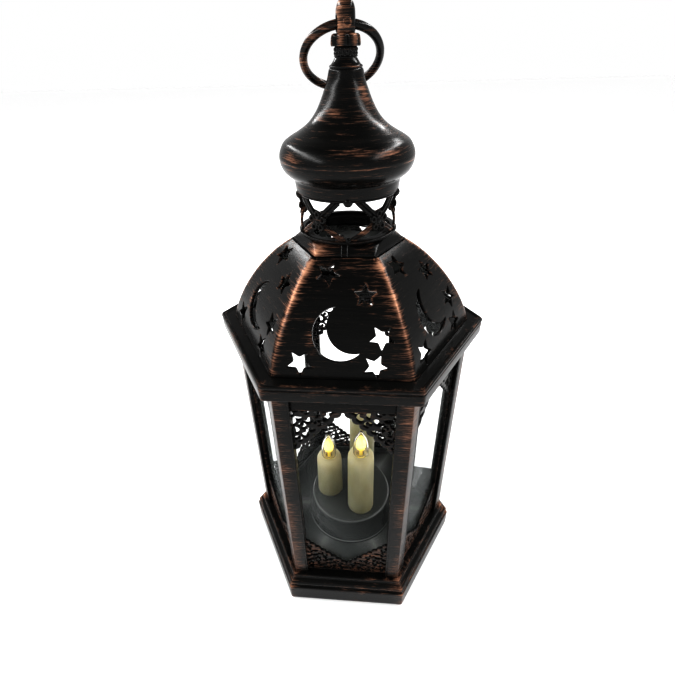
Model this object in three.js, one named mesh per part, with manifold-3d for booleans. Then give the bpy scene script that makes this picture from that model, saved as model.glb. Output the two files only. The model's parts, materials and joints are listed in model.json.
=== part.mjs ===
// Hexagonal candle lantern with three battery candles, in millimetres, +Z up.
// The origin is the centre of the face it rests on. The hexagon's corners lie at 0, 60, 120 ...
// degrees about Z, so one window faces -Y (front) and one faces +Y (back).
import * as THREE from 'three';
import { mergeVertices } from 'three/addons/utils/BufferGeometryUtils.js';
import Module from 'manifold-3d';

const wasm = await Module();
wasm.setup();

// ---- driving dimensions -------------------------------------------------------------------

const SIDES = 6;
const GAP = 0.3;                     // air between pieces that touch
const COS30 = Math.cos(Math.PI / 6);

const BASE_RADIUS = 75;              // to a corner, as every hexagon radius here
const FLOOR_TOP = 15;
const FLOOR_THICKNESS = 1.6;
const SKIRT_INNER_RADIUS = 71.6;
const LEDGE_TOP = 22;                // the posts and windows stand on it

const POST_RADIUS = 67.5;
const POST_FACE_WIDTH = 8.05;
const POST_THICKNESS = 2.2;
const EAVE_BOTTOM = 180.2;
const EAVE_TOP = 188.9;
const EAVE_RADIUS = 74.3;

const WINDOW_THICKNESS = 2.7;
const WINDOW_HALF_WIDTH = 30.4;
const OPENING_HALF_WIDTH = 25.7;
const PANE_THICKNESS = 0.6;
const PANE_HALF_WIDTH = 29.2;

const DOME_BOTTOM = EAVE_TOP + GAP;
const DOME_TOP = 234.6;
const DOME_FOOT_RADIUS = 66;
const DOME_TOP_RADIUS = 29.4;

const NECK_BOTTOM = DOME_TOP + GAP;
const NECK_TOP = 240.3;
const COLLAR_BOTTOM = NECK_TOP + GAP;
const COLLAR_TOP = 259.7;
const FINIAL_BOTTOM = COLLAR_TOP + GAP;
const FINIAL_TOP = 311;
const SPACER_TOP = 314.7;
const NUT_TOP = 318.8;
const EYE_TOP = 331;

const SHANK_RADIUS = 2.6;
const SHANK_HOLE_RADIUS = 3;
const SHANK_BOTTOM = 299;

const HANGER_TURN = 12;              // the eye and ring are turned by this much about Z, degrees
const RING_RADIUS = 16.6;            // to the middle of the wire
const RING_WIRE_RADIUS = 1.75;
const RING_LEAN = 47;                // backwards from hanging straight down, degrees
const RING_PIVOT_Z = 322.4;

const PLINTH_TOP = 36.5;
const CANDLE_CIRCLE_RADIUS = 15.5;
const CANDLE_HEIGHTS = [36.5, 55, 73.5];
const CANDLE_ANGLES = [180, 300, 60];
const CANDLE_FOOT_RADIUS = 9.3;
const CANDLE_HEAD_RADIUS = 8.9;

const CELL_RADIUS = 5.25;
const CELL_LENGTH = 44.5;
const CELL_SPACING = 11.1;
const CELL_AXIS_Z = 7.5;
const CRADLE_ROOM = [49.4, 34.6];
const DOOR_SIZE = [61.4, 41.4];
const DOOR_X = -3;
const DOOR_SCREW_X = -30;
const PLATE_THICKNESS = 2.2;
const PLATE_SCREW_CIRCLE = 52;
const SWITCH_Y = -38;
const SWITCH_TRAVEL = 4;

// ---- materials ----------------------------------------------------------------------------

const finish = (color, roughness, metalness) => (
  new THREE.MeshStandardMaterial({ color, roughness, metalness }));
const BRONZED = () => finish(0x1e1c1a, 0.42, 0.35);
const COPPER = () => finish(0x6b4030, 0.38, 0.8);
const BLACK_PLASTIC = () => finish(0x232322, 0.6, 0);
const STEEL = () => finish(0xb4b4b0, 0.35, 1);
const WAX = () => finish(0xd8cfa8, 0.45, 0);
const CLEAR = () => {
  const material = finish(0xf4f0e0, 0.1, 0);
  material.transparent = true;
  material.opacity = 0.35;
  return material;
};
const AMBER = () => finish(0xf6d860, 0.25, 0);
const CELL_COAT = () => finish(0x3c5a3e, 0.4, 0.2);
const BOARD_GREEN = () => finish(0x1d4a2c, 0.5, 0.1);

// ---- geometry helpers ---------------------------------------------------------------------

const lantern = new THREE.Group();
const radians = (degrees) => THREE.MathUtils.degToRad(degrees);
const vectors = (pairs) => pairs.map(([x, y]) => new THREE.Vector2(x, y));

function signedVolume(geometry) {
  const position = geometry.attributes.position;
  const index = geometry.index.array;
  const corner = [new THREE.Vector3(), new THREE.Vector3(), new THREE.Vector3()];
  let volume = 0;
  for (let i = 0; i < index.length; i += 3) {
    corner.forEach((point, k) => point.fromBufferAttribute(position, index[i + k]));
    volume += corner[0].dot(corner[1].cross(corner[2])) / 6;
  }
  return volume;
}

// A closed geometry as a manifold solid, its faces turned outwards if they point in.
function solid(geometry) {
  const bare = new THREE.BufferGeometry();
  bare.setAttribute('position', geometry.attributes.position.clone());
  if (geometry.index) bare.setIndex(geometry.index.clone());
  const merged = mergeVertices(bare, 1e-4);
  const triVerts = new Uint32Array(merged.index.array);
  if (signedVolume(merged) < 0) triVerts.reverse();
  const vertProperties = new Float32Array(merged.attributes.position.array);
  return new wasm.Manifold(new wasm.Mesh({ numProp: 3, vertProperties, triVerts }));
}

function geometryOf(manifold) {
  const { vertProperties, triVerts } = manifold.getMesh();
  const geometry = new THREE.BufferGeometry();
  geometry.setAttribute('position', new THREE.BufferAttribute(vertProperties, 3));
  geometry.setIndex(new THREE.BufferAttribute(triVerts, 1));
  geometry.computeVertexNormals();
  return geometry;
}

function add(name, manifold, material, parent = lantern) {
  const mesh = new THREE.Mesh(geometryOf(manifold), material);
  mesh.name = name;
  parent.add(mesh);
  return mesh;
}

const joined = (solids) => solids.reduce((whole, part) => whole.add(part));
const cut = (body, tools) => tools.reduce((rest, tool) => rest.subtract(tool), body);

// An outline in XY pushed up along Z from bottom to top.
function prism(shape, bottom, top, curveSegments = 6) {
  const geometry = new THREE.ExtrudeGeometry(shape, {
    depth: top - bottom, bevelEnabled: false, curveSegments });
  return geometry.translate(0, 0, bottom);
}

function rectangle(width, height, x = 0, y = 0) {
  return new THREE.Shape(vectors([
    [x - width / 2, y - height / 2], [x + width / 2, y - height / 2],
    [x + width / 2, y + height / 2], [x - width / 2, y + height / 2]]));
}

function block([sx, sy, sz], [x, y, z]) {
  return solid(new THREE.BoxGeometry(sx, sy, sz).translate(x, y, z));
}

function rod(radius, bottom, top, x = 0, y = 0, segments = 16) {
  const geometry = new THREE.CylinderGeometry(radius, radius, top - bottom, segments);
  return solid(geometry.rotateX(Math.PI / 2).translate(x, y, (top + bottom) / 2));
}

// [radius, z] points turned about Z. A ring's outline closes on itself.
function revolve(points, segments, start = 0) {
  const profile = vectors(points);
  const onAxis = points[0][0] === 0 && points.at(-1)[0] === 0;
  if (!onAxis) profile.push(profile[0].clone());
  return new THREE.LatheGeometry(profile, segments, start).rotateX(Math.PI / 2);
}

const round = (points, segments = 32) => solid(revolve(points, segments));
const hexagonal = (points) => solid(revolve(points, SIDES, Math.PI / 6));

// ---- base ---------------------------------------------------------------------------------

const plateScrewPlaces = [90, 210, 330].map((angle) => [
  PLATE_SCREW_CIRCLE * Math.cos(radians(angle)), PLATE_SCREW_CIRCLE * Math.sin(radians(angle))]);

function baseTray() {
  const tray = hexagonal([
    [0, FLOOR_TOP - FLOOR_THICKNESS], [SKIRT_INNER_RADIUS, FLOOR_TOP - FLOOR_THICKNESS],
    [SKIRT_INNER_RADIUS, 0], [BASE_RADIUS - 0.8, 0], [BASE_RADIUS, 0.8], [BASE_RADIUS, 13.2],
    [74.3, 14], [73.5, 14.3], [73.5, 15.2], [73.9, 15.8], [73.7, 16.9], [72.6, 18.3],
    [71, 19.2], [70.4, 20], [70.2, 21.3], [69.4, LEDGE_TOP], [62.4, LEDGE_TOP],
    [62, 21.6], [62, FLOOR_TOP], [0, FLOOR_TOP]]);
  const wireHole = rod(4, FLOOR_TOP - 5, FLOOR_TOP + 5, 0, 0, 12);
  const bosses = plateScrewPlaces.map(([x, y]) => rod(3.6, 2.6, FLOOR_TOP - 1, x, y, 12));
  const bores = plateScrewPlaces.map(([x, y]) => rod(1.9, 2, 12, x, y, 12));
  add('base_tray', cut(joined([tray, ...bosses]), [wireHole, ...bores]), BRONZED());
}

function bottomPlate() {
  const plate = hexagonal([
    [0, 0], [SKIRT_INNER_RADIUS - 0.4, 0], [SKIRT_INNER_RADIUS - 0.4, PLATE_THICKNESS],
    [0, PLATE_THICKNESS]]);
  const doorway = block([DOOR_SIZE[0] + 2 * GAP, DOOR_SIZE[1] + 2 * GAP, 8], [DOOR_X, 0, 0]);
  const switchSlot = block([SWITCH_TRAVEL + 4.2, 3.4, 8], [0, SWITCH_Y, 0]);
  const screwHoles = plateScrewPlaces.map(([x, y]) => (
    rod(1.9, -2, 4, x, y, 12).add(rod(3.6, -2, 1.6, x, y, 12))));
  add('bottom_plate', cut(plate, [doorway, switchSlot, ...screwHoles]), BLACK_PLASTIC());
}

// Pan-head screw pointing up, its head's underside at z = 0, with a cross recess.
function screw(headRadius, headHeight, shankRadius, length) {
  const body = round([
    [0, -headHeight], [headRadius * 0.8, -headHeight], [headRadius, -headHeight * 0.5],
    [headRadius, 0], [shankRadius, 0], [shankRadius, length - 1], [0, length]], 16);
  const slot = headRadius * 1.2;
  return cut(body, [
    block([slot, 0.7, 0.9], [0, 0, -headHeight]), block([0.7, slot, 0.9], [0, 0, -headHeight])]);
}

function plateScrews() {
  plateScrewPlaces.forEach(([x, y], i) => {
    const mesh = add(`base_screw_${i + 1}`, screw(3.2, 1, 1.5, 9), STEEL());
    mesh.position.set(x, y, 1.3);
  });
}

function batteryDoor() {
  const [width, depth] = DOOR_SIZE;
  const panel = block([width, depth, 1.7], [DOOR_X, 0, 1.05]);
  const gripX = DOOR_X + width / 2 - 8;
  const grip = [-4, -2, 0, 2, 4].map((x) => block([0.8, 8, 0.8], [gripX + x, 0, 0.1]));
  const screwHole = rod(1.5, -2, 4, DOOR_SCREW_X, 0, 12);
  const headRecess = rod(2.7, -2, 1.35, DOOR_SCREW_X, 0, 12);
  add('battery_door', cut(panel, [...grip, screwHole, headRecess]), BLACK_PLASTIC());
  const mesh = add('door_screw', screw(2.3, 0.7, 1.2, 5), STEEL());
  mesh.position.set(DOOR_SCREW_X, 0, 1.05);
}

// Sheet across the ends of all three cells, with one stud towards each.
function contactPlate(side) {
  const x = side * (CRADLE_ROOM[0] / 2 - 0.55);
  const pieces = [block([0.5, CRADLE_ROOM[1] - 1.4, 6.6], [x, 0, 6.5])];
  for (let k = -1; k <= 1; k += 1) {
    const stud = new THREE.CylinderGeometry(1.8, 1.8, 1.2, 10).rotateZ(Math.PI / 2);
    pieces.push(solid(stud.translate(x - side * 0.8, k * CELL_SPACING, CELL_AXIS_Z)));
  }
  return joined(pieces);
}

function batteryCradle() {
  const bottom = 2.2;
  const top = FLOOR_TOP - FLOOR_THICKNESS - GAP;
  const [length, width] = CRADLE_ROOM;
  const outer = solid(prism(rectangle(length + 3.2, width + 3.2), bottom, top));
  const room = solid(prism(rectangle(length, width), bottom - 1, top + 1));
  const ribs = [-0.5, 0.5].map((k) => (
    block([length + 1, 0.4, 3], [0, k * CELL_SPACING, top - 1.5])));
  const boss = block([8, 6, top - bottom], [DOOR_SCREW_X + 0.5, 0, (top + bottom) / 2]);
  const bore = rod(1.5, bottom - 1, 8, DOOR_SCREW_X, 0, 12);
  const cradle = joined([cut(outer, [room]), ...ribs, boss]).subtract(bore);
  add('battery_cradle', cradle, BLACK_PLASTIC());
  add('contact_plate_positive', contactPlate(1), STEEL());
  add('contact_plate_negative', contactPlate(-1), STEEL());
}

function batteries() {
  const half = CELL_LENGTH / 2;
  for (let i = 0; i < 3; i += 1) {
    const cell = revolve([
      [0, -half], [CELL_RADIUS - 0.5, -half], [CELL_RADIUS, -half + 0.5],
      [CELL_RADIUS, half - 2], [CELL_RADIUS - 0.5, half - 1.5], [2.6, half - 1.5],
      [2.6, half], [0, half]], 20);
    const mesh = add(`battery_${i + 1}`, solid(cell), CELL_COAT());
    mesh.rotation.y = i % 2 ? -Math.PI / 2 : Math.PI / 2;
    mesh.position.set(0, (i - 1) * CELL_SPACING, CELL_AXIS_Z);
  }
}

function powerSwitch() {
  const body = block([14, 6.4, 4.6], [0, SWITCH_Y, 4.8]);
  const slot = block([SWITCH_TRAVEL + 4.2, 3.4, 4.6], [0, SWITCH_Y, 2.3]);
  add('switch_body', body.subtract(slot), BLACK_PLASTIC());
  const x = -SWITCH_TRAVEL / 2;
  const knob = block([3.4, 2.8, 3.4], [x, SWITCH_Y, 2.2]);
  const grooves = [-1, 0, 1].map((k) => block([0.5, 4, 0.6], [x + k, SWITCH_Y, 0.5]));
  add('switch_slider', cut(knob, grooves), STEEL());
}

// ---- candles ------------------------------------------------------------------------------

const candlePlaces = CANDLE_ANGLES.map((angle) => [
  CANDLE_CIRCLE_RADIUS * Math.cos(radians(angle)),
  CANDLE_CIRCLE_RADIUS * Math.sin(radians(angle))]);

function plinth() {
  const bottom = FLOOR_TOP + GAP;
  const drum = round([
    [30, bottom], [32.6, bottom], [32.6, 16.6], [31.9, 17.8], [29.5, 35.4], [28.4, PLINTH_TOP],
    [0, PLINTH_TOP], [0, PLINTH_TOP - 2], [27.4, PLINTH_TOP - 2], [29.8, 17.6]], 36);
  const holes = candlePlaces.map(([x, y]) => rod(1.8, 30, 40, x, y, 8));
  const boardPosts = [0, 120, 240].map((angle) => (
    rod(1.6, 29.9, 35, 20 * Math.cos(radians(angle)), 20 * Math.sin(radians(angle)), 8)));
  add('battery_plinth', joined([cut(drum, holes), ...boardPosts]), BLACK_PLASTIC());
  const board = rod(24, 28, 29.6, 0, 0, 20);
  const wireHole = rod(3, 25, 32, 0, 0, 8);
  add('circuit_board', board.subtract(wireHole), BOARD_GREEN());
}

// Hollow sleeve, open below, with rounded shoulders and a hole for the light's stem on top.
function candleSleeve(height) {
  const foot = PLINTH_TOP + GAP;
  const head = PLINTH_TOP + height;
  const wall = 1.2;
  return round([
    [CANDLE_FOOT_RADIUS - wall, foot], [CANDLE_FOOT_RADIUS, foot],
    [CANDLE_HEAD_RADIUS, head - 3.4], [CANDLE_HEAD_RADIUS - 0.8, head - 1.6],
    [CANDLE_HEAD_RADIUS - 2.6, head - 0.3], [5.4, head], [2.4, head], [2.4, head - wall],
    [CANDLE_HEAD_RADIUS - 2.6, head - wall - 0.4], [CANDLE_HEAD_RADIUS - wall, head - 3.6]], 20);
}

// Clear tip, open below: a short straight wall that draws in to a rounded point.
function flameBulb(height) {
  const foot = PLINTH_TOP + height + GAP;
  const outer = [[5.2, 0], [5.2, 5], [4.8, 9], [3.6, 13.4], [1.7, 18], [0, 20]];
  const inner = [[0, 18.4], [1.4, 16], [3.2, 11.6], [4.2, 7.6], [4.4, 4.8], [4.4, 0]];
  return round([...outer, ...inner].map(([r, z]) => [r, z + foot]), 16);
}

// Stem from the board up into the bulb, with a flame-shaped light on top.
function flameLed(height) {
  const base = PLINTH_TOP + height + 3;
  return round([
    [0, 30], [1.2, 30], [1.2, base], [2, base + 1], [2.8, base + 4], [2.7, base + 6.4],
    [1.9, base + 9.4], [0.8, base + 12], [0, base + 12.8]], 14);
}

function candles() {
  candlePlaces.forEach(([x, y], i) => {
    const height = CANDLE_HEIGHTS[i];
    const sleeve = add(`candle_sleeve_${i + 1}`, candleSleeve(height), WAX());
    const bulb = add(`flame_bulb_${i + 1}`, flameBulb(height), CLEAR());
    const led = add(`flame_led_${i + 1}`, flameLed(height), AMBER());
    [sleeve, bulb, led].forEach((mesh) => mesh.position.set(x, y, 0));
  });
}

// ---- posts and windows --------------------------------------------------------------------

// Folded strip: two faces that meet at the hexagon's corner on the +X axis.
function cornerPost() {
  const corner = new THREE.Vector2(POST_RADIUS, 0);
  const faceEnd = (side, depth) => {
    const along = new THREE.Vector2(Math.cos(radians(120)), side * Math.sin(radians(120)));
    const inward = new THREE.Vector2(-COS30, -side * 0.5);
    return corner.clone().addScaledVector(along, POST_FACE_WIDTH).addScaledVector(inward, depth);
  };
  const outline = new THREE.Shape([
    corner, faceEnd(1, 0), faceEnd(1, POST_THICKNESS),
    new THREE.Vector2(POST_RADIUS - POST_THICKNESS / COS30, 0),
    faceEnd(-1, POST_THICKNESS), faceEnd(-1, 0)]);
  return solid(prism(outline, LEDGE_TOP + GAP, EAVE_BOTTOM - GAP));
}

// Half of the opening's edge, from the middle of the sill to the middle of the head, as [x, z].
// Each step between two points is one scallop that swells into the opening.
const SILL_SCALLOPS = [[0, 29.6], [3.8, 33], [7.4, 36.4], [11.1, 39.9], [14.8, 43.4], [18.5, 46.9],
  [22.2, 50.4], [OPENING_HALF_WIDTH, 53.8]];
const HEAD_SCALLOPS = [[OPENING_HALF_WIDTH, 140.4], [22.4, 143.9], [19, 147.6], [15.6, 151.3],
  [12.2, 155], [8.8, 158.7], [5.4, 162.4]];
const HEAD_NOTCH = [[5.2, 164.4], [2.4, 166.2], [0, 167.2]];
const SCALLOP_SWELL = 0.9;
const PIERCINGS = [[22.4, 165, 1.7], [16.6, 164.4, 1.4], [22, 157.4, 1.7], [15.6, 158.2, 1.4],
  [22.4, 150.4, 1.6]];

// side is 1 for the half at +x, drawn upwards, and -1 for the other, drawn downwards.
function openingEdge(side) {
  const half = [...SILL_SCALLOPS, ...HEAD_SCALLOPS, ...HEAD_NOTCH];
  const ordered = side > 0 ? half : [...half].reverse();
  const points = [];
  ordered.forEach(([x, z], i) => {
    points.push([side * x, z]);
    const next = ordered[i + 1];
    const plain = !next || x === next[0] || Math.max(z, next[1]) > 163;
    if (plain) return;
    const swell = z < 100 ? SCALLOP_SWELL : -SCALLOP_SWELL;
    points.push([side * ((x + next[0]) / 2 - 0.4 * SCALLOP_SWELL), (z + next[1]) / 2 + swell]);
  });
  return points;
}

function piercing(x, z, radius) {
  const points = [];
  for (let i = 0; i < 6; i += 1) {
    const angle = radians(60 * i);
    points.push([x + radius * Math.cos(angle), z + radius * Math.sin(angle)]);
  }
  return new THREE.Path(vectors(points));
}

// Pierced panel drawn in x and z, stood up just behind the front posts' faces.
function windowFrame() {
  const bottom = LEDGE_TOP + GAP;
  const top = EAVE_BOTTOM - GAP;
  const panel = rectangle(2 * WINDOW_HALF_WIDTH, top - bottom, 0, (top + bottom) / 2);
  const edge = [...openingEdge(1), ...openingEdge(-1).slice(1, -1)];
  panel.holes.push(new THREE.Path(vectors(edge)));
  PIERCINGS.forEach(([x, z, radius]) => {
    panel.holes.push(piercing(x, z, radius), piercing(-x, z, radius));
  });
  const front = POST_RADIUS * COS30 - POST_THICKNESS - GAP;
  const geometry = prism(panel, 0, WINDOW_THICKNESS).rotateX(Math.PI / 2);
  return solid(geometry.translate(0, WINDOW_THICKNESS - front, 0));
}

// Clear sheet that stands on the floor behind its window frame, under the eave.
function windowPane() {
  const bottom = FLOOR_TOP + GAP;
  const top = EAVE_BOTTOM - GAP;
  const face = POST_RADIUS * COS30 - POST_THICKNESS - 2 * GAP - WINDOW_THICKNESS;
  return block([2 * PANE_HALF_WIDTH, PANE_THICKNESS, top - bottom],
    [0, -(face - PANE_THICKNESS / 2), (top + bottom) / 2]);
}

function walls() {
  for (let i = 0; i < SIDES; i += 1) {
    const post = add(`corner_post_${i + 1}`, cornerPost(), BRONZED());
    post.rotation.z = radians(300 + 60 * i);
    const frame = add(`window_frame_${i + 1}`, windowFrame(), BRONZED());
    frame.rotation.z = radians(60 * i);
    const pane = add(`window_pane_${i + 1}`, windowPane(), CLEAR());
    pane.rotation.z = radians(60 * i);
  }
}

// ---- roof ---------------------------------------------------------------------------------

function eaveFrame() {
  add('eave_frame', hexagonal([
    [60.5, EAVE_BOTTOM], [73.7, EAVE_BOTTOM], [74.2, EAVE_BOTTOM + 0.5], [74.2, 186.2],
    [73.5, 186.7], [73.5, 187.3], [EAVE_RADIUS, 187.8], [EAVE_RADIUS, 188.8], [73.7, 189.4],
    [72.7, 189.3], [72.2, EAVE_TOP], [60.5, EAVE_TOP]]), BRONZED());
}

const domeCurve = new THREE.CubicBezierCurve(...vectors([
  [DOME_FOOT_RADIUS, DOME_BOTTOM], [61, 206.5], [45, 226.5], [DOME_TOP_RADIUS, DOME_TOP]]));
const domeLining = new THREE.CubicBezierCurve(...vectors([
  [29, DOME_TOP - 2.2], [43.4, 224], [58.6, 205.2], [DOME_FOOT_RADIUS - 2.6, DOME_BOTTOM]]));
const DOME_STEPS = 7;

// The cut-outs of one gore: x across it, z of the middle, size, and a turn in degrees.
const STARS = [
  { x: -7.3, z: 229.8, radius: 6, turn: 190 }, { x: 9.9, z: 222.8, radius: 5.6, turn: 0 },
  { x: 17.8, z: 207.3, radius: 6, turn: 180 }, { x: -19.2, z: 196, radius: 6.4, turn: 180 },
  { x: 15.2, z: 195.2, radius: 6, turn: 192 }];
const CRESCENT = { x: -1, z: 208.4, radius: 12.6, bite: 12.3, biteAngle: 29, biteOffset: 7 };

// Moves a shape's extrusion so that it stands across the front gore's wall at x and z.
function throughGore(geometry, x, z) {
  let low = 0;
  let high = 1;
  for (let i = 0; i < 30; i += 1) {
    const middle = (low + high) / 2;
    if (domeCurve.getPoint(middle).y < z) low = middle;
    else high = middle;
  }
  const point = domeCurve.getPoint(low);
  const tangent = domeCurve.getTangent(low);
  const up = new THREE.Vector3(0, -tangent.x * COS30, tangent.y).normalize();
  const across = new THREE.Vector3(1, 0, 0);
  const out = across.clone().cross(up);
  const frame = new THREE.Matrix4().makeBasis(across, up, out);
  frame.setPosition(x, -point.x * COS30, z);
  return geometry.applyMatrix4(frame);
}

function starShape(radius, turn) {
  const points = [];
  for (let i = 0; i < 10; i += 1) {
    const angle = radians(90 + turn + 36 * i);
    const reach = i % 2 ? radius * 0.46 : radius;
    points.push([reach * Math.cos(angle), reach * Math.sin(angle)]);
  }
  return new THREE.Shape(vectors(points));
}

function crescentShape() {
  const { radius, bite, biteAngle, biteOffset } = CRESCENT;
  const along = (radius ** 2 - bite ** 2 + biteOffset ** 2) / (2 * biteOffset);
  const outerTip = Math.acos(along / radius);
  const innerTip = Math.acos((along - biteOffset) / bite);
  const turn = radians(biteAngle);
  const centre = [biteOffset * Math.cos(turn), biteOffset * Math.sin(turn)];
  const shape = new THREE.Shape();
  shape.absarc(0, 0, radius, turn + outerTip, turn - outerTip, false);
  shape.absarc(...centre, bite, turn - innerTip, turn + innerTip, true);
  return shape;
}

function roofDome() {
  const outer = domeCurve.getPoints(DOME_STEPS).map(({ x, y }) => [x, y]);
  const inner = domeLining.getPoints(DOME_STEPS).map(({ x, y }) => [x, y]);
  const shell = hexagonal([...outer, [22, DOME_TOP], [22, DOME_TOP - 2.2], ...inner]);
  const cutters = [];
  for (let side = 0; side < SIDES; side += 1) {
    STARS.forEach(({ x, z, radius, turn }) => {
      const star = throughGore(prism(starShape(radius, turn), -5, 4), x, z);
      cutters.push(solid(star.rotateZ(radians(60 * side))));
    });
    const moon = throughGore(prism(crescentShape(), -7, 5, 9), CRESCENT.x, CRESCENT.z);
    cutters.push(solid(moon.rotateZ(radians(60 * side))));
  }
  add('roof_dome', cut(shell, cutters), BRONZED());
}

// Hexagonal at the foot and round at the top: a prism trimmed by a cone.
function neckRing() {
  const prismRing = hexagonal([
    [23.5, NECK_BOTTOM], [27.8, NECK_BOTTOM], [27.8, NECK_TOP], [23.5, NECK_TOP]]);
  const cone = round([
    [19.5, NECK_BOTTOM - 1], [29.6, NECK_BOTTOM - 1], [25, NECK_TOP - 1.4], [24.3, NECK_TOP - 0.6],
    [24.1, NECK_TOP + 1], [19.5, NECK_TOP + 1]], 36);
  add('neck_ring', prismRing.intersect(cone), BRONZED());
}

// Round bar that climbs round the collar by one bay, from one ring to the other.
function latticeStrap(startAngle, sweep) {
  const radius = 22.3;
  const points = [];
  for (let i = 0; i <= 6; i += 1) {
    const angle = radians(startAngle + sweep * (0.18 + (0.78 * i) / 6));
    const z = COLLAR_BOTTOM + 1.2 + ((COLLAR_TOP - COLLAR_BOTTOM - 2.4) * i) / 6;
    points.push(new THREE.Vector3(radius * Math.cos(angle), radius * Math.sin(angle), z));
  }
  const section = new THREE.Shape(vectors([[1.2, 0], [0, 1.2], [-1.2, 0], [0, -1.2]]));
  return solid(new THREE.ExtrudeGeometry(section, {
    steps: 6, bevelEnabled: false, extrudePath: new THREE.CatmullRomCurve3(points) }));
}

function openworkCollar() {
  const bays = 5;
  const bay = 360 / bays;
  const firstKnob = 274;
  const lowRing = round([
    [21.2, COLLAR_BOTTOM], [24, COLLAR_BOTTOM], [24, COLLAR_BOTTOM + 1.6],
    [21.2, COLLAR_BOTTOM + 1.6]], 30);
  const highRing = round([
    [21.2, COLLAR_TOP - 1.4], [23.2, COLLAR_TOP - 1.4], [23.2, COLLAR_TOP],
    [21.2, COLLAR_TOP]], 30);
  const pieces = [lowRing, highRing];
  for (let i = 0; i < bays; i += 1) {
    const angle = firstKnob + bay * i;
    pieces.push(latticeStrap(angle, bay), latticeStrap(angle, -bay));
    const rosette = new THREE.CylinderGeometry(4.2, 4.2, 2.6, 8).rotateZ(Math.PI / 2);
    rosette.translate(22.3, 0, (COLLAR_BOTTOM + COLLAR_TOP) / 2);
    pieces.push(solid(rosette.rotateZ(radians(angle + bay / 2))));
  }
  add('openwork_collar', joined(pieces), BRONZED());
}

// ---- finial and hanger --------------------------------------------------------------------

// Bell with an onion bulge, hollow from below, its tip bored for the eye's shank.
function finial() {
  add('finial', round([
    [22, FINIAL_BOTTOM], [24.2, FINIAL_BOTTOM], [24.8, 265.1], [28, 267.6], [30.3, 271.2],
    [30.8, 274.4], [30, 277.8], [27.8, 281], [23.8, 283.2], [19.2, 286], [15.4, 289.4],
    [11.8, 294.6], [9.4, 299.8], [7.2, 307], [6.6, 307.6], [6.6, 308.8], [4.7, FINIAL_TOP],
    [SHANK_HOLE_RADIUS, FINIAL_TOP], [SHANK_HOLE_RADIUS, 304.4], [5.4, 304.4], [7.6, 298],
    [11.8, 290.4], [20, 282.4], [26.6, 278], [28.2, 273.8], [26, 268.8], [22.6, 265.6]],
  28), BRONZED());
}

function spacer() {
  const flutes = 8;
  const body = round([
    [SHANK_HOLE_RADIUS, FINIAL_TOP + GAP], [4.7, FINIAL_TOP + GAP], [4.8, 312], [4.8, 314.2],
    [4.5, SPACER_TOP], [SHANK_HOLE_RADIUS, SPACER_TOP]], 16);
  const grooves = [];
  for (let i = 0; i < flutes; i += 1) {
    const angle = radians((360 / flutes) * i);
    grooves.push(rod(0.6, 312, 314, 4.9 * Math.cos(angle), 4.9 * Math.sin(angle), 4));
  }
  return cut(body, grooves);
}

// Nut with six soft lobes.
function eyeNut() {
  const points = [];
  const count = 24;
  for (let i = 0; i < count; i += 1) {
    const angle = (i / count) * 2 * Math.PI;
    const reach = 4.9 + 0.4 * Math.cos(6 * angle);
    points.push([reach * Math.cos(angle), reach * Math.sin(angle)]);
  }
  const bottom = SPACER_TOP + GAP;
  const bevel = 0.8;
  const geometry = new THREE.ExtrudeGeometry(new THREE.Shape(vectors(points)), {
    depth: NUT_TOP - bottom - 2 * bevel, bevelThickness: bevel, bevelSize: bevel,
    bevelSegments: 1 });
  const nut = solid(geometry.translate(0, 0, bottom + bevel));
  return nut.subtract(rod(SHANK_HOLE_RADIUS, bottom - 2, NUT_TOP + 2));
}

// Upright eye: an arch seen from the front, and a narrow loop with the ring's hole from the side.
function hangerEye() {
  const foot = NUT_TOP + GAP;
  const archHalf = 3.9;
  const sideHalf = 4.7;
  const arch = new THREE.Shape();
  arch.moveTo(-archHalf, 0);
  arch.lineTo(archHalf, 0);
  arch.lineTo(archHalf, EYE_TOP - foot - archHalf - 1);
  arch.absellipse(0, EYE_TOP - foot - archHalf - 1, archHalf, archHalf + 1, 0, Math.PI, false, 0);
  const loop = new THREE.Shape();
  loop.moveTo(-sideHalf + 1, 0);
  loop.lineTo(sideHalf - 1, 0);
  loop.lineTo(sideHalf, 2);
  loop.lineTo(sideHalf, EYE_TOP - foot - sideHalf);
  loop.absarc(0, EYE_TOP - foot - sideHalf, sideHalf, 0, Math.PI, false);
  loop.lineTo(-sideHalf, 2);
  const across = prism(arch, -8, 8).rotateX(Math.PI / 2).translate(0, 0, foot);
  const along = prism(loop, -8, 8).rotateX(Math.PI / 2).rotateZ(Math.PI / 2).translate(0, 0, foot);
  const hole = new THREE.CylinderGeometry(2.7, 2.7, 20, 14).rotateZ(Math.PI / 2);
  const eye = solid(across).intersect(solid(along));
  const shank = rod(SHANK_RADIUS, SHANK_BOTTOM, foot + 0.4);
  return eye.subtract(solid(hole.translate(0, 0, RING_PIVOT_Z))).add(shank);
}

function hangingRing() {
  const lean = radians(RING_LEAN);
  const torus = new THREE.TorusGeometry(RING_RADIUS, RING_WIRE_RADIUS, 8, 36);
  torus.rotateX(Math.PI / 2 + lean);
  return solid(torus.translate(
    0, RING_RADIUS * Math.sin(lean), RING_PIVOT_Z - RING_RADIUS * Math.cos(lean)));
}

function hanger() {
  const group = new THREE.Group();
  group.rotation.z = radians(HANGER_TURN);
  lantern.add(group);
  add('finial_spacer', spacer(), COPPER(), group);
  add('eye_nut', eyeNut(), COPPER(), group);
  add('hanger_eye', hangerEye(), COPPER(), group);
  add('hanging_ring', hangingRing(), COPPER(), group);
  const nut = solid(revolve([
    [SHANK_HOLE_RADIUS, 301.2], [5.4, 301.2], [5.4, 304], [SHANK_HOLE_RADIUS, 304]], SIDES));
  add('shank_nut', nut.subtract(rod(SHANK_HOLE_RADIUS, 300, 306)), STEEL(), group);
}

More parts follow.
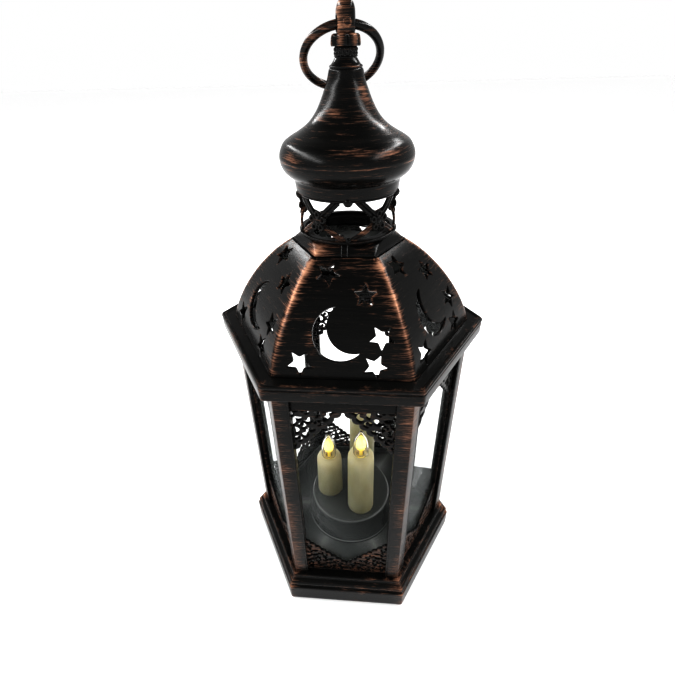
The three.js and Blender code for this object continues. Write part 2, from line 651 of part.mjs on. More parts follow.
// ---- assembly -----------------------------------------------------------------------------

baseTray();
bottomPlate();
plateScrews();
batteryDoor();
batteryCradle();
batteries();
powerSwitch();
plinth();
candles();
walls();
eaveFrame();
roofDome();
neckRing();
openworkCollar();
finial();
hanger();

export default lantern;
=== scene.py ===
"""Looks of the candle lantern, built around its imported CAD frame.

Shapes are worked out in millimetres in the frame's own axes: +Z up, the front window faces -Y,
and the hexagon's corners lie at 0, 60, 120 ... degrees about Z.
"""
import json
import math
from math import cos, pi, radians, sin

import bmesh
import bpy
import numpy as np
from mathutils import Euler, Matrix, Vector, noise
from mathutils.geometry import delaunay_2d_cdt


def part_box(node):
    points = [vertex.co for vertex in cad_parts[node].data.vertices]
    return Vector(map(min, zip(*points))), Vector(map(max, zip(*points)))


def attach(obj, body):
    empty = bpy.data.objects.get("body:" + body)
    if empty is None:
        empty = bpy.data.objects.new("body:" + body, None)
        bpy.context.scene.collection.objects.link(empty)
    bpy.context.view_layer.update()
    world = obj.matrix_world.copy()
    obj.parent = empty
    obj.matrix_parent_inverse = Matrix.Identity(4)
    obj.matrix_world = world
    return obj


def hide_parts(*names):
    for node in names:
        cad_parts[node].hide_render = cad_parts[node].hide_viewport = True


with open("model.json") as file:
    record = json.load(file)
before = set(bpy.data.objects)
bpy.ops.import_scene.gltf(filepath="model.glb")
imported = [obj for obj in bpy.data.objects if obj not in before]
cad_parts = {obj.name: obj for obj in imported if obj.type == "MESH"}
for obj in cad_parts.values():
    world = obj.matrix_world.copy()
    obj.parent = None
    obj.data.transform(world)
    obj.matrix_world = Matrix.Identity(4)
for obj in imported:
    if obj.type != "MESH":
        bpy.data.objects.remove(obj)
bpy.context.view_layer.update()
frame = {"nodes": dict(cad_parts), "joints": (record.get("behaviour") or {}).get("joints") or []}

MM = 0.001
COS30 = cos(radians(30))
TAN30 = math.tan(radians(30))
LANTERN = "lantern_body"
ROUND_STEP = 2.5         # longest step of an outline, in millimetres


def low(node):
    """Lowest corner of a CAD node's box, in millimetres."""
    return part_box(node)[0] / MM


def high(node):
    """Highest corner of a CAD node's box, in millimetres."""
    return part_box(node)[1] / MM


def foot_and_top(node):
    """Lowest and highest z of a CAD node, in millimetres."""
    return low(node).z, high(node).z


def whole_turn(count):
    """Evenly spaced angles round a circle."""
    return np.arange(count) * 2 * pi / count


# ---- shapes ----

def placed(name, data):
    """Adds an object that holds the data to the scene."""
    thing = bpy.data.objects.new(name, data)
    bpy.context.scene.collection.objects.link(thing)
    return thing


class Shape:
    """Points in millimetres and faces; each point carries a value from 0 to 1: how worn its paint is on most
    pieces, with painted shading as well on the hanger's lug, a painted highlight on the plinth, a painted
    glow on the candle sleeves and how hot a light's flame looks.
    """

    def __init__(self):
        self.points = []
        self.faces = []
        self.wear_and_light = []
        self.kinds = []

    def add(self, points, faces, wear_and_light=0.0, kind=0):
        """Adds points and the faces between them; kind picks which of the piece's materials."""
        first = len(self.points)
        self.points.extend(tuple(map(float, point)) for point in points)
        self.faces.extend(tuple(int(first + i) for i in face) for face in faces)
        self.wear_and_light.extend(np.broadcast_to(np.asarray(wear_and_light, float), len(points)))
        self.kinds.extend([kind] * len(faces))

    def loft(self, rows, wear_and_light=0.0, round_rows=True, closed=False, caps=False):
        """Skins rows of points, each as long as the next; closed joins the last to the first."""
        rows = np.asarray(rows, float)
        count, across = rows.shape[:2]
        worn = np.broadcast_to(np.asarray(wear_and_light, float), (count, across)).reshape(-1)
        faces = []
        for j in range(count if closed else count - 1):
            for i in range(across if round_rows else across - 1):
                k, m = (j + 1) % count, (i + 1) % across
                faces.append((j * across + i, j * across + m, k * across + m, k * across + i))
        if caps:
            faces.append(tuple(range(across)))
            faces.append(tuple(range((count - 1) * across, count * across)))
        self.add(rows.reshape(-1, 3), faces, worn)

    def turned(self, degrees):
        """The same shape turned about Z."""
        a = radians(degrees)
        turn = np.array([[cos(a), -sin(a), 0], [sin(a), cos(a), 0], [0, 0, 1]])
        other = Shape()
        other.points = [tuple(p) for p in np.asarray(self.points) @ turn.T]
        other.faces, other.wear_and_light, other.kinds = list(self.faces), list(self.wear_and_light), list(self.kinds)
        return other

    def join(self, other):
        first = len(self.points)
        self.points.extend(other.points)
        self.faces.extend(tuple(first + i for i in face) for face in other.faces)
        self.wear_and_light.extend(other.wear_and_light)
        self.kinds.extend(other.kinds)


def make(name, shape, materials, node=None, body=LANTERN, sharp=38, weld=0.002):
    """Makes the piece, smooth but for its sharp edges, hides the CAD node it stands for and hangs it on its
    body's empty.
    """
    bm = bmesh.new()
    # The per-point value is paint wear on most pieces, with painted shading on the lug, a painted highlight
    # on the plinth and a painted glow on the candle sleeves.
    layer = bm.verts.layers.float.new("wear_and_light")
    for point, worn in zip(shape.points, shape.wear_and_light):
        vert = bm.verts.new(Vector(point) * MM)
        vert[layer] = worn
    bm.verts.ensure_lookup_table()
    for face, kind in zip(shape.faces, shape.kinds):
        if len(set(face)) == len(face):
            made = bm.faces.new([bm.verts[i] for i in face])
            made.material_index = kind
            made.smooth = True
    bmesh.ops.remove_doubles(bm, verts=bm.verts, dist=weld * MM)
    bmesh.ops.dissolve_degenerate(bm, edges=bm.edges, dist=1e-7)
    bmesh.ops.recalc_face_normals(bm, faces=bm.faces)
    mesh = bpy.data.meshes.new(name)
    bm.to_mesh(mesh)
    bm.free()
    mesh.set_sharp_from_angle(angle=radians(sharp))
    for material in materials if isinstance(materials, (list, tuple)) else [materials]:
        mesh.materials.append(material)
    piece = placed(name, mesh)
    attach(piece, body)
    if node:
        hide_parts(node)
    return piece


def eased(points, reach, steps=3, closed=False):
    """A polyline with its corners eased into short curves that start reach away from them."""
    points = [np.asarray(p, float) for p in points]
    out = []
    for i, p in enumerate(points):
        if not closed and i in (0, len(points) - 1):
            out.append(p)
            continue
        before, after = points[i - 1] - p, points[(i + 1) % len(points)] - p
        a = p + before * min(0.45, reach / max(np.linalg.norm(before), 1e-9))
        b = p + after * min(0.45, reach / max(np.linalg.norm(after), 1e-9))
        for k in range(steps + 1):
            t = k / steps
            out.append((1 - t) ** 2 * a + 2 * t * (1 - t) * p + t * t * b)
    return np.array(out)


def profile(points, reach=0.35, spread=1.3):
    """An eased outline split into short steps, and how near each point is to an outer edge.

    The outline runs with the solid on its left, so a left turn is an outer edge.
    """
    raw = [np.asarray(p, float) for p in points]
    outer = []
    for a, p, b in zip(raw, raw[1:], raw[2:]):
        u, v = (p - a) / np.linalg.norm(p - a), (b - p) / np.linalg.norm(b - p)
        turn = u[0] * v[1] - u[1] * v[0]
        if turn > 0.2:
            outer.append((p, min(1.0, turn)))
    line = eased(raw, reach)
    fine = [line[0]]
    for a, b in zip(line, line[1:]):
        parts = max(1, math.ceil(np.linalg.norm(b - a) / ROUND_STEP))
        fine.extend(a + (b - a) * (k + 1) / parts for k in range(parts))
    fine = np.array(fine)
    edge = np.zeros(len(fine))
    for p, strength in outer:
        edge = np.maximum(edge, strength * np.exp(-np.linalg.norm(fine - p, axis=1) / spread))
    return fine, edge


ARC_STEPS = 4            # steps round a rounded corner
# Where points lie along a flat side, closer together towards its ends.
FLAT_STEPS = (0.025, 0.06, 0.11, 0.18, 0.27, 0.38, 0.5, 0.62, 0.73, 0.82, 0.89, 0.94, 0.975)


def hexagon(radius, rounding):
    """A hexagon with rounded corners: its points, and how far each is from the nearest corner."""
    points, away = [], []
    rounding = min(rounding, radius * COS30)
    half_flat = radius / 2 - rounding * TAN30
    for side in range(6):
        corner = radians(60 * side)
        middle = (radius - rounding / COS30) * np.array([cos(corner), sin(corner)])
        for k in range(ARC_STEPS + 1):
            swing = radians(-30 + 60 * k / ARC_STEPS)
            points.append(middle + rounding * np.array(
                [cos(corner + swing), sin(corner + swing)]))
            away.append(abs(swing) * rounding)
        normal = radians(60 * side + 30)
        along = np.array([-sin(normal), cos(normal)])
        foot = radius * COS30 * np.array([cos(normal), sin(normal)])
        for f in FLAT_STEPS:
            points.append(foot + along * half_flat * (2 * f - 1))
            away.append(rounding * pi / 6 + 2 * half_flat * min(f, 1 - f))
    return np.array(points), np.array(away)


def hex_sweep(shape, points, rounding, edge_wear, ridge_wear, ridge_spread, spread):
    """Sweeps an outline of (corner radius, z) round the hexagon."""
    line, edge = profile(points, spread=spread)
    rows, wear_and_light = [], []
    for (radius, z), near in zip(line, edge):
        flat, away = hexagon(radius, rounding)
        rows.append(np.column_stack([flat, np.full(len(flat), z)]))
        ridge = ridge_wear * np.exp(-away / ridge_spread)
        wear_and_light.append(np.maximum(edge_wear * near, ridge * (0.45 + 0.55 * near)))
    shape.loft(rows, wear_and_light, closed=True)


def lathe(shape, points, segments, reach=0.0, wear_and_light=None, centre=(0, 0), edge_wear=0.4):
    """Turns an outline of (radius, z) about a vertical axis. wear(angle, z) adds to its edges'."""
    line, edge = profile(points, reach) if reach else (np.asarray(points, float), np.zeros(len(points)))
    angles = whole_turn(segments)
    rows, worn = [], []
    for (radius, z), near in zip(line, edge):
        rows.append(np.column_stack([
            centre[0] + radius * np.cos(angles), centre[1] + radius * np.sin(angles),
            np.full(segments, z)]))
        extra = [wear_and_light(a, z) for a in angles] if wear_and_light else np.zeros(segments)
        worn.append(np.maximum(edge_wear * near, extra))
    shape.loft(rows, worn, closed=True)


def spline(points, count):
    """A smooth curve of that many points through the given ones."""
    points = np.asarray(points, float)
    given = np.concatenate([[0], np.cumsum(np.linalg.norm(np.diff(points, axis=0), axis=1))])
    slopes = np.gradient(points, given, axis=0)
    wanted = np.linspace(0, given[-1], count)
    place = np.clip(np.searchsorted(given, wanted, side="right") - 1, 0, len(given) - 2)
    span = given[place + 1] - given[place]
    t = ((wanted - given[place]) / span)[:, None]
    span = span[:, None]
    h00, h10 = 2 * t**3 - 3 * t**2 + 1, t**3 - 2 * t**2 + t
    h01, h11 = -2 * t**3 + 3 * t**2, t**3 - t**2
    return (h00 * points[place] + h10 * span * slopes[place]
            + h01 * points[place + 1] + h11 * span * slopes[place + 1])


def tube(shape, path, radii, sides=10, wear_and_light=0.3, closed=False, flatten=1.0, side_of=None):
    """A round or flattened bar along a path. side_of(point) is its wide side's direction."""
    path = np.asarray(path, float)
    radii = np.broadcast_to(np.asarray(radii, float), len(path))
    ahead = np.roll(path, -1, axis=0) - np.roll(path, 1, axis=0)
    if not closed:
        ahead[0], ahead[-1] = path[1] - path[0], path[-1] - path[-2]
    rows, turns = [], whole_turn(sides)
    for point, forward, radius in zip(path, ahead, radii):
        forward = forward / np.linalg.norm(forward)
        hint = np.asarray(side_of(point) if side_of else (0, 0, 1), float)
        thin = hint - forward * (hint @ forward)
        thin /= np.linalg.norm(thin)
        wide = np.cross(forward, thin)
        rows.append(point + radius * (np.outer(np.cos(turns), wide)
                                      + flatten * np.outer(np.sin(turns), thin)))
    shape.loft(rows, wear_and_light, closed=closed, caps=not closed)


def blob(shape, centre, radius, wear_and_light, height):
    """A small bead, its height given as a share of its width."""
    rows, turns = [], whole_turn(10)
    for lift in pi * (np.linspace(0.02, 0.98, 7) - 0.5):
        rows.append(np.column_stack([
            centre[0] + radius * cos(lift) * np.cos(turns),
            centre[1] + radius * cos(lift) * np.sin(turns),
            np.full(len(turns), centre[2] + radius * height * sin(lift))]))
    shape.loft(rows, wear_and_light, caps=True)


# ---- materials ----

class Paint:
    """A material with a Principled shader, and short ways to add nodes to it."""

    def __init__(self, name):
        self.material = bpy.data.materials.new(name)
        self.material.use_nodes = True
        self.tree = self.material.node_tree
        self.shader = self.tree.nodes["Principled BSDF"]

    def node(self, kind, **settings):
        made = self.tree.nodes.new(kind)
        for key, value in settings.items():
            setattr(made, key, value)
        return made

    def link(self, source, target):
        self.tree.links.new(source, target)

    def feed(self, socket, source):
        """Links a value to one of the shader's own sockets."""
        self.link(source, self.shader.inputs[socket])

    def set(self, **values):
        """Sets the shader's own sockets: base_color is the socket Base Color."""
        for key, value in values.items():
            name = " ".join(word.capitalize() for word in key.split("_")).replace("Ior", "IOR")
            self.shader.inputs[name].default_value = value

    def grain(self, scale, detail=3.0, roughness=0.6):
        """Noise in the object's own place. scale is per metre, one number or one per axis."""
        place = self.node("ShaderNodeTexCoord").outputs["Object"]
        stretch = self.node("ShaderNodeMapping")
        stretch.inputs["Scale"].default_value = (
            scale if isinstance(scale, (tuple, list)) else (scale,) * 3)
        self.link(place, stretch.inputs["Vector"])
        made = self.node("ShaderNodeTexNoise")
        made.inputs["Scale"].default_value = 1.0
        made.inputs["Detail"].default_value = detail
        made.inputs["Roughness"].default_value = roughness
        self.link(stretch.outputs["Vector"], made.inputs["Vector"])
        return made.outputs["Fac"]

    def math(self, operation, a, b):
        """A sum or product of two values, each a number or another node's result."""
        made = self.node("ShaderNodeMath", operation=operation)
        for socket, value in zip(made.inputs, (a, b)):
            if isinstance(value, bpy.types.NodeSocket):
                self.link(value, socket)
            else:
                socket.default_value = value
        return made.outputs[0]

    def span(self, value, from_low, from_high, to_low=0.0, to_high=1.0, smooth=True):
        """Stretches a range of values onto another and holds it there beyond its ends."""
        made = self.node("ShaderNodeMapRange",
                         interpolation_type="SMOOTHSTEP" if smooth else "LINEAR")
        self.link(value, made.inputs["Value"])
        for name, number in (("From Min", from_low), ("From Max", from_high),
                             ("To Min", to_low), ("To Max", to_high)):
            made.inputs[name].default_value = number
        return made.outputs["Result"]

    def mix(self, factor, first, second):
        """A colour between two, each given as a colour or as another node's result."""
        made = self.node("ShaderNodeMix", data_type="RGBA")
        for socket, value in ((made.inputs[0], factor), (made.inputs[6], first),
                              (made.inputs[7], second)):
            if isinstance(value, bpy.types.NodeSocket):
                self.link(value, socket)
            else:
                socket.default_value = (*value, 1.0) if isinstance(value, tuple) else value
        return made.outputs[2]

    def attribute(self, name):
        return self.node("ShaderNodeAttribute", attribute_name=name).outputs["Fac"]

    def bump(self, height, distance, strength):
        """Surface relief, its depth given in millimetres."""
        made = self.node("ShaderNodeBump")
        made.inputs["Strength"].default_value = strength
        made.inputs["Distance"].default_value = distance * MM
        self.link(height, made.inputs["Height"])
        self.feed("Normal", made.outputs["Normal"])


def bronzed(name, brushing=1.0, copper_tint=(0.5, 0.285, 0.185)):
    """Near-black bronze, dry-brushed with copper in fine level strokes where it is worn."""
    black, charcoal = (0.0056, 0.0056, 0.0052), (0.0085, 0.0083, 0.0076)
    brown = tuple(part * share for part, share in zip(copper_tint, (0.3, 0.27, 0.27)))
    paint = Paint(name)
    worn = paint.attribute("wear_and_light")
    hairs = paint.grain((120, 120, 1900), detail=4, roughness=0.7)
    strokes = paint.grain((45, 45, 620), detail=3, roughness=0.65)
    patches = paint.grain(30, detail=2)
    amount = paint.math("MULTIPLY", worn, brushing)
    for value, weight in ((hairs, 1.9), (strokes, 0.6), (patches, 0.7)):
        amount = paint.math("ADD", amount, paint.span(value, 0, 1, -weight / 2, weight / 2, smooth=False))
    copper = paint.span(amount, 0.18, 1.36)
    dark = paint.mix(paint.span(strokes, 0.35, 0.7), black, charcoal)
    tone = paint.mix(paint.span(copper, 0, 0.4), dark, brown)
    paint.feed("Base Color", paint.mix(paint.span(copper, 0.28, 0.95), tone, copper_tint))
    paint.feed("Metallic", paint.span(copper, 0, 1, 0.0, 0.4))
    paint.set(specular_ior_level=0.22)
    gloss = paint.math("ADD", paint.span(hairs, 0.3, 0.7, 0.2, 0.27), paint.math("MULTIPLY", copper, 0.2))
    paint.feed("Roughness", gloss)
    relief = paint.math("ADD", paint.math("MULTIPLY", hairs, 0.6), paint.math("MULTIPLY", copper, 0.4))
    paint.bump(relief, 0.022, 0.5)
    return paint.material


def plastic(name, tint, gloss=(0.42, 0.58), spread=0.2, bumps=0.5, scuff_and_highlight=None):
    """Moulded plastic with a fine spark-eroded grain and faint flow marks, paler by the per-point value:
    scuffs on the base's floor and painted highlights on the plinth.
    """
    paint = Paint(name)
    fine = paint.grain(1540, detail=2)
    flow = paint.grain((30, 30, 70), detail=3)
    darker = tuple(c * (1 - spread) for c in tint)
    lighter = tuple(min(1.0, c * (1 + spread)) for c in tint)
    tone = paint.mix(paint.span(flow, 0.3, 0.7), darker, lighter)
    # Pale tint: scuffs on the base's floor, and painted highlight arcs on the plinth.
    if scuff_and_highlight:
        tone = paint.mix(paint.attribute("wear_and_light"), tone, scuff_and_highlight)
    paint.feed("Base Color", tone)
    paint.feed("Roughness", paint.span(flow, 0.3, 0.7, *gloss))
    paint.bump(fine, 0.02, bumps)
    return paint.material


def plated(name):
    """Plated steel with fine turning marks and a few dull patches."""
    tint = (0.55, 0.55, 0.53)
    paint = Paint(name)
    marks = paint.grain((900, 900, 2600), detail=2)
    dull = paint.grain(160, detail=3)
    paint.feed("Base Color", paint.mix(paint.span(dull, 0.35, 0.75), tint, tuple(0.7 * c for c in tint)))
    paint.feed("Roughness", paint.span(dull, 0.3, 0.75, 0.22, 0.42))
    paint.set(metallic=1.0)
    paint.bump(marks, 0.01, 0.4)
    return paint.material


def wax(name):
    """Cream wax-like sleeve, slightly cloudy, with a painted glow near its top that stands in for the flame's
    light.
    """
    paint = Paint(name)
    cloud = paint.grain((90, 90, 35), detail=3)
    glow = paint.attribute("wear_and_light")
    body = paint.mix(paint.span(cloud, 0.3, 0.7), (0.3, 0.285, 0.175), (0.365, 0.352, 0.23))
    paint.feed("Base Color", body)
    paint.feed("Roughness", paint.span(cloud, 0.3, 0.7, 0.36, 0.5))
    paint.set(subsurface_weight=0.55, subsurface_scale=0.004)
    paint.shader.inputs["Subsurface Radius"].default_value = (1.0, 0.75, 0.4)
    # Painted glow: emission on a part that is no lamp, set by the per-point value near the sleeve's top.
    paint.shader.inputs["Emission Color"].default_value = (1.0, 0.85, 0.5, 1)
    paint.feed("Emission Strength", paint.math("MULTIPLY", glow, 0.22))
    paint.bump(paint.grain(420, detail=2), 0.03, 0.5)
    return paint.material


def clear(name):
    """Clear moulded tip."""
    paint = Paint(name)
    ripple = paint.grain((120, 120, 260), detail=2)
    paint.set(base_color=(1.0, 0.97, 0.88, 1), transmission_weight=1.0, ior=1.3)
    paint.feed("Roughness", paint.span(ripple, 0.3, 0.7, 0.03, 0.12))
    paint.bump(ripple, 0.05, 0.5)
    return paint.material


PANE_HAZE = 0.17


def pane(name):
    """Thin clear sheet, quite clear face on and hazy where it is seen aslant."""
    paint = Paint(name)
    smear = paint.grain((14, 14, 9), detail=2)
    paint.set(base_color=(0.42, 0.45, 0.45, 1), specular_ior_level=1.0)
    paint.feed("Roughness", paint.span(smear, 0.3, 0.7, 0.04, 0.1))
    facing = paint.node("ShaderNodeLayerWeight")
    facing.inputs["Blend"].default_value = 0.35
    thick = paint.span(facing.outputs["Facing"], 0.26, 0.6, 0.0, PANE_HAZE)
    paint.feed("Alpha", thick)
    return paint.material


def glowing(name):
    """Yellow light, brightest low in its middle."""
    paint = Paint(name)
    speck = paint.grain(650, detail=2)
    heat = paint.attribute("wear_and_light")
    tone = paint.mix(heat, (1.0, 0.8, 0.14), (1.0, 0.94, 0.4))
    paint.feed("Base Color", tone)
    paint.feed("Emission Color", tone)
    strength = paint.math("ADD", paint.math("MULTIPLY", heat, 0.7), paint.span(speck, 0.3, 0.7, 0.25, 0.5))
    paint.feed("Emission Strength", strength)
    paint.feed("Roughness", paint.span(speck, 0.3, 0.7, 0.25, 0.45))
    return paint.material


def cell_coat(name):
    """Plain green coat of a cell, slightly uneven."""
    paint = Paint(name)
    soft = paint.grain(120, detail=2)
    paint.feed("Base Color", paint.mix(paint.span(soft, 0.3, 0.7), (0.03, 0.07, 0.035), (0.05, 0.1, 0.05)))
    paint.feed("Roughness", paint.span(soft, 0.3, 0.7, 0.25, 0.4))
    paint.set(metallic=0.3)
    return paint.material


BRONZED = bronzed("bronzed_plastic")
COPPERED = bronzed("copper_trim", brushing=1.05, copper_tint=(0.53, 0.305, 0.195))
# Its pale tint paints the plinth's highlight arcs as well as the floor's scuffs.
INSIDE = plastic("inner_plastic", (0.046, 0.0495, 0.047), gloss=(0.2, 0.26), spread=0.05,
                 bumps=0.008, scuff_and_highlight=(0.42, 0.43, 0.41))
BLACK = plastic("black_plastic", (0.016, 0.016, 0.016))
STEEL = plated("plated_steel")
PANE = pane("clear_pane")
WAX = wax("cream_wax")
CLEAR = clear("clear_tip")
GLOW = glowing("amber_light")
COAT = cell_coat("cell_coat")
BOARD = plastic("board_green", (0.02, 0.09, 0.04), spread=0.3)


# ---- base ----

BASE_RADIUS = high("base_tray").x
LEDGE_TOP = high("base_tray").z
FLOOR_TOP = LEDGE_TOP - 7


def base_moulding():
    """Stepped rim, the ledge under the windows and the lantern's floor, dark plastic inside."""
    r, top = BASE_RADIUS, LEDGE_TOP
    shape = Shape()
    hex_sweep(shape, [
        (r - 3.4, 2.6), (r - 3.4, 0), (r - 0.5, 0), (r, 0.7), (r, 12.7), (r - 0.5, 13.4),
        (r - 1.6, 13.7), (r - 1.6, 14.9), (r - 1.2, 15.4), (r - 1.1, 16.6), (r - 2.0, 17.9),
        (r - 3.6, 18.9), (r - 4.5, 19.3), (r - 4.7, 21.2), (r - 5.4, top), (r - 12.6, top),
        (r - 13, top - 0.4), (r - 13, FLOOR_TOP), (8, FLOOR_TOP), (8, FLOOR_TOP - 1.6),
        (r - 16, FLOOR_TOP - 1.6), (r - 16, 8)],
        rounding=1.5, edge_wear=0.52, ridge_wear=0.95, ridge_spread=6.5, spread=1.0)
    inner = (r - 12.8) * COS30
    points = np.asarray(shape.points)
    for k, face in enumerate(shape.faces):
        middle = points[list(face)].mean(axis=0)
        away = max(abs(middle[1]), abs(middle[1] / 2) + abs(middle[0]) * COS30)
        if away < inner and middle[2] > FLOOR_TOP - 1:
            shape.kinds[k] = 1
    make("base_moulding", shape, [BRONZED, INSIDE], "base_tray")


def plinth():
    """Round drum for the candles, with painted highlights: a pale arc along its foot, brightest towards the
    front left, and a fainter one along its upper edge.
    """
    z0, top = foot_and_top("battery_plinth")
    r = high("battery_plinth").x

    def painted_highlight_arcs(angle, z):
        # Painted highlight: pale arc round the foot, strongest at azimuth 250 degrees, plus a thin one along
        # the upper edge.
        foot = 0.75 * math.exp(-((z - 17.0) / 0.35) ** 2) * max(0.15, cos(angle - radians(250)))
        return foot + 0.3 * math.exp(-((z - top + 0.5) / 0.3) ** 2)

    shape = Shape()
    lathe(shape, [
        (r - 3, z0), (r - 0.1, z0), (r - 0.1, 16.2), (r - 0.9, 17.6), (r - 3.2, top - 1.5),
        (r - 4.1, top), (0.5, top), (0.5, top - 2), (r - 5.2, top - 2), (r - 3, 17)],
        segments=128, reach=0.9, wear_and_light=painted_highlight_arcs, edge_wear=0)
    make("plinth_drum", shape, INSIDE, "battery_plinth")


base_moulding()
plinth()


# ---- candles ----

def candle_axis(i):
    """Where a candle's axis stands."""
    foot, head = low(f"candle_sleeve_{i}"), high(f"candle_sleeve_{i}")
    return (foot.x + head.x) / 2, (foot.y + head.y) / 2


def sleeve(i):
    """Hollow-topped taper, grooved below its shoulder. Its per-point value is a painted glow, strongest at
    its top.
    """
    foot, head = low(f"candle_sleeve_{i}"), high(f"candle_sleeve_{i}")
    r, z0, z1 = (head.x - foot.x) / 2, foot.z, head.z
    neck = r - 0.4

    # Painted glow from the flame above, fading out 22 mm below the top.
    def painted_glow(_, z):
        return max(0.0, 1 - (z1 - z) / 22) ** 2

    outer = [(r - 1.2, z0), (r - 0.15, z0), (r, z0 + 0.8)]
    outer += [(r - 0.4 * t, z0 + 0.8 + (z1 - 7 - z0) * t) for t in np.linspace(0.06, 1, 14)]
    outer += [(neck - 0.35, z1 - 6.8), (neck - 0.35, z1 - 6.4), (neck, z1 - 6.2), (neck, z1 - 5.7),
              (neck - 0.25, z1 - 3.2), (neck - 1.0, z1 - 1.5), (neck - 2.1, z1 - 0.5), (neck - 3.2, z1),
              (2.6, z1), (2.6, z1 - 1.2), (neck - 2.6, z1 - 1.6), (neck - 1.4, z1 - 3.6)]
    shape = Shape()
    lathe(shape, outer, segments=72, centre=candle_axis(i), wear_and_light=painted_glow)
    make(f"candle_{i}", shape, WAX, f"candle_sleeve_{i}", sharp=60)


def tip(i):
    """Clear flame-shaped tip with a thin wall."""
    foot, head = low(f"flame_bulb_{i}"), high(f"flame_bulb_{i}")
    r, z0, z1 = (head.x - foot.x) / 2, foot.z, head.z
    outside = spline([(r, z0), (r, z0 + 4), (r - 0.15, z0 + 7), (r - 0.9, z0 + 11), (r - 2.4, z0 + 15),
                      (1.1, z0 + 18.6), (0.05, z1)], 30)
    inside = spline([(0.05, z1 - 1.3), (0.9, z0 + 17.2), (r - 3.1, z0 + 14.4), (r - 1.7, z0 + 10.6),
                     (r - 0.95, z0 + 6.6), (r - 0.8, z0)], 24)
    shape = Shape()
    lathe(shape, np.vstack([outside, inside]), segments=48, centre=candle_axis(i))
    make(f"bulb_{i}", shape, CLEAR, f"flame_bulb_{i}", sharp=50)


def light(i):
    """Flame on a stalk inside the tip. Its wear says how hot it looks."""
    z0, z1 = foot_and_top(f"flame_bulb_{i}")
    foot, top = foot_and_top(f"flame_led_{i}")

    def heat(_, z):
        return float(np.clip((z - z0 - 4.5) / 3, 0, 1) * np.clip((z1 - 2.5 - z) / 5, 0.35, 1))

    flame = spline([(1.2, z0 + 2.2), (2.2, z0 + 3.4), (3.3, z0 + 6), (3.35, z0 + 8.4),
                    (2.6, z0 + 11.2), (1.5, z0 + 13.8), (0.05, top)], 26)
    stalk = [(0.05, foot), (1.1, foot)]
    shape = Shape()
    lathe(shape, np.vstack([stalk, flame]), segments=32, centre=candle_axis(i), wear_and_light=heat)
    make(f"light_{i}", shape, GLOW, f"flame_led_{i}", sharp=70)


for number in (1, 2, 3):
    sleeve(number)
    tip(number)
    light(number)


# ---- posts and windows ----

POST_RADIUS = high("corner_post_2").x
POST_WIDTH = 8.05
POST_DEPTH = 2.2
WINDOW_HALF = 30.4
OPENING_HALF = 25.7
OPENING_LOW = 23.0
OPENING_HIGH = 167.2
WINDOW_FACE = -low("window_frame_1").y
WINDOW_BACK = -high("window_frame_1").y
STROKE_POINTS = 8
HOLE_ROWS = 9
GRID = 0.4               # spacing of the grid the scrollwork is cut from


def corner_post():
    """The post on the +X corner: two faces that meet at the hexagon's corner, bead along each edge."""
    corner = np.array([POST_RADIUS, 0.0])
    sides = []
    for s in (1, -1):
        along = np.array([-0.5, s * COS30])
        inward = np.array([-COS30, -s * 0.5])
        sides.append([corner + along * a + inward * d for a, d in (
            (2.2, 0), (POST_WIDTH - 1.3, 0), (POST_WIDTH - 1.1, 0.25), (POST_WIDTH - 0.9, 0.25),
            (POST_WIDTH - 0.7, 0.0), (POST_WIDTH, 0), (POST_WIDTH, POST_DEPTH))])
    inner = corner - np.array([POST_DEPTH / COS30, 0])
    loop = sides[0][::-1] + [corner] + sides[1] + [inner]
    loop = eased(loop[::-1], 0.3, steps=2, closed=True)
    away = np.array([np.linalg.norm(p - corner) for p in loop])
    inner_side = (loop @ np.array([1.0, 0.0])) < POST_RADIUS - 0.5 * away - 1.2
    worn = 0.12 + 0.34 * np.exp(-(away / 5.6) ** 2)
    worn = np.where(inner_side, 0.0, worn)
    z0, z1 = foot_and_top("corner_post_1")
    shape = Shape()
    levels = np.linspace(z0, z1, 12)
    rows = [np.column_stack([loop, np.full(len(loop), z)]) for z in levels]
    shape.loft(rows, np.array([worn] * len(levels)), caps=True)
    return shape


def rounded_rectangle(width, height, rounding, middle_z):
    """A loop of (x, z) points about x = 0."""
    loop, steps = [], 3
    for sx, sz, start in ((1, -1, 270), (1, 1, 0), (-1, 1, 90), (-1, -1, 180)):
        cx, cz = sx * (width / 2 - rounding), middle_z + sz * (height / 2 - rounding)
        for k in range(steps + 1):
            a = radians(start + 90 * k / steps)
            loop.append((cx + rounding * cos(a), cz + rounding * sin(a)))
    return np.array(loop)


def window_border(shape):
    """Flat frame of the window: rings of points from its outer edge to its opening."""
    z0, z1 = foot_and_top("window_frame_1")
    middle, tall = (z0 + z1) / 2, z1 - z0
    hole_z, hole_h = (OPENING_LOW + OPENING_HIGH) / 2, OPENING_HIGH - OPENING_LOW
    face, back = WINDOW_FACE, WINDOW_BACK

    def ring(width, height, rounding, z, depth):
        loop = rounded_rectangle(width, height, rounding, z)
        return np.column_stack([loop[:, 0], np.full(len(loop), -depth), loop[:, 1]])

    outer, hole = 2 * WINDOW_HALF, 2 * OPENING_HALF
    rows = [
        ring(outer, tall, 0.5, middle, back), ring(outer, tall, 0.5, middle, face - 0.4),
        ring(outer - 0.6, tall - 0.6, 0.5, middle, face - 0.15),
        ring(hole + 2.4, hole_h + 2.4, 1.2, hole_z, face - 0.15),
        ring(hole + 1.8, hole_h + 1.8, 1.1, hole_z, face),
        ring(hole + 0.7, hole_h + 0.7, 0.9, hole_z, face),
        ring(hole, hole_h, 0.8, hole_z, face - 0.35), ring(hole, hole_h, 0.8, hole_z, back)]
    worn = [0, 0.1, 0.1, 0.05, 0.3, 0.3, 0.35, 0]
    wear_and_light = np.repeat(np.array(worn)[:, None], rows[0].shape[0], axis=1)
    shape.loft(rows, wear_and_light, closed=True)


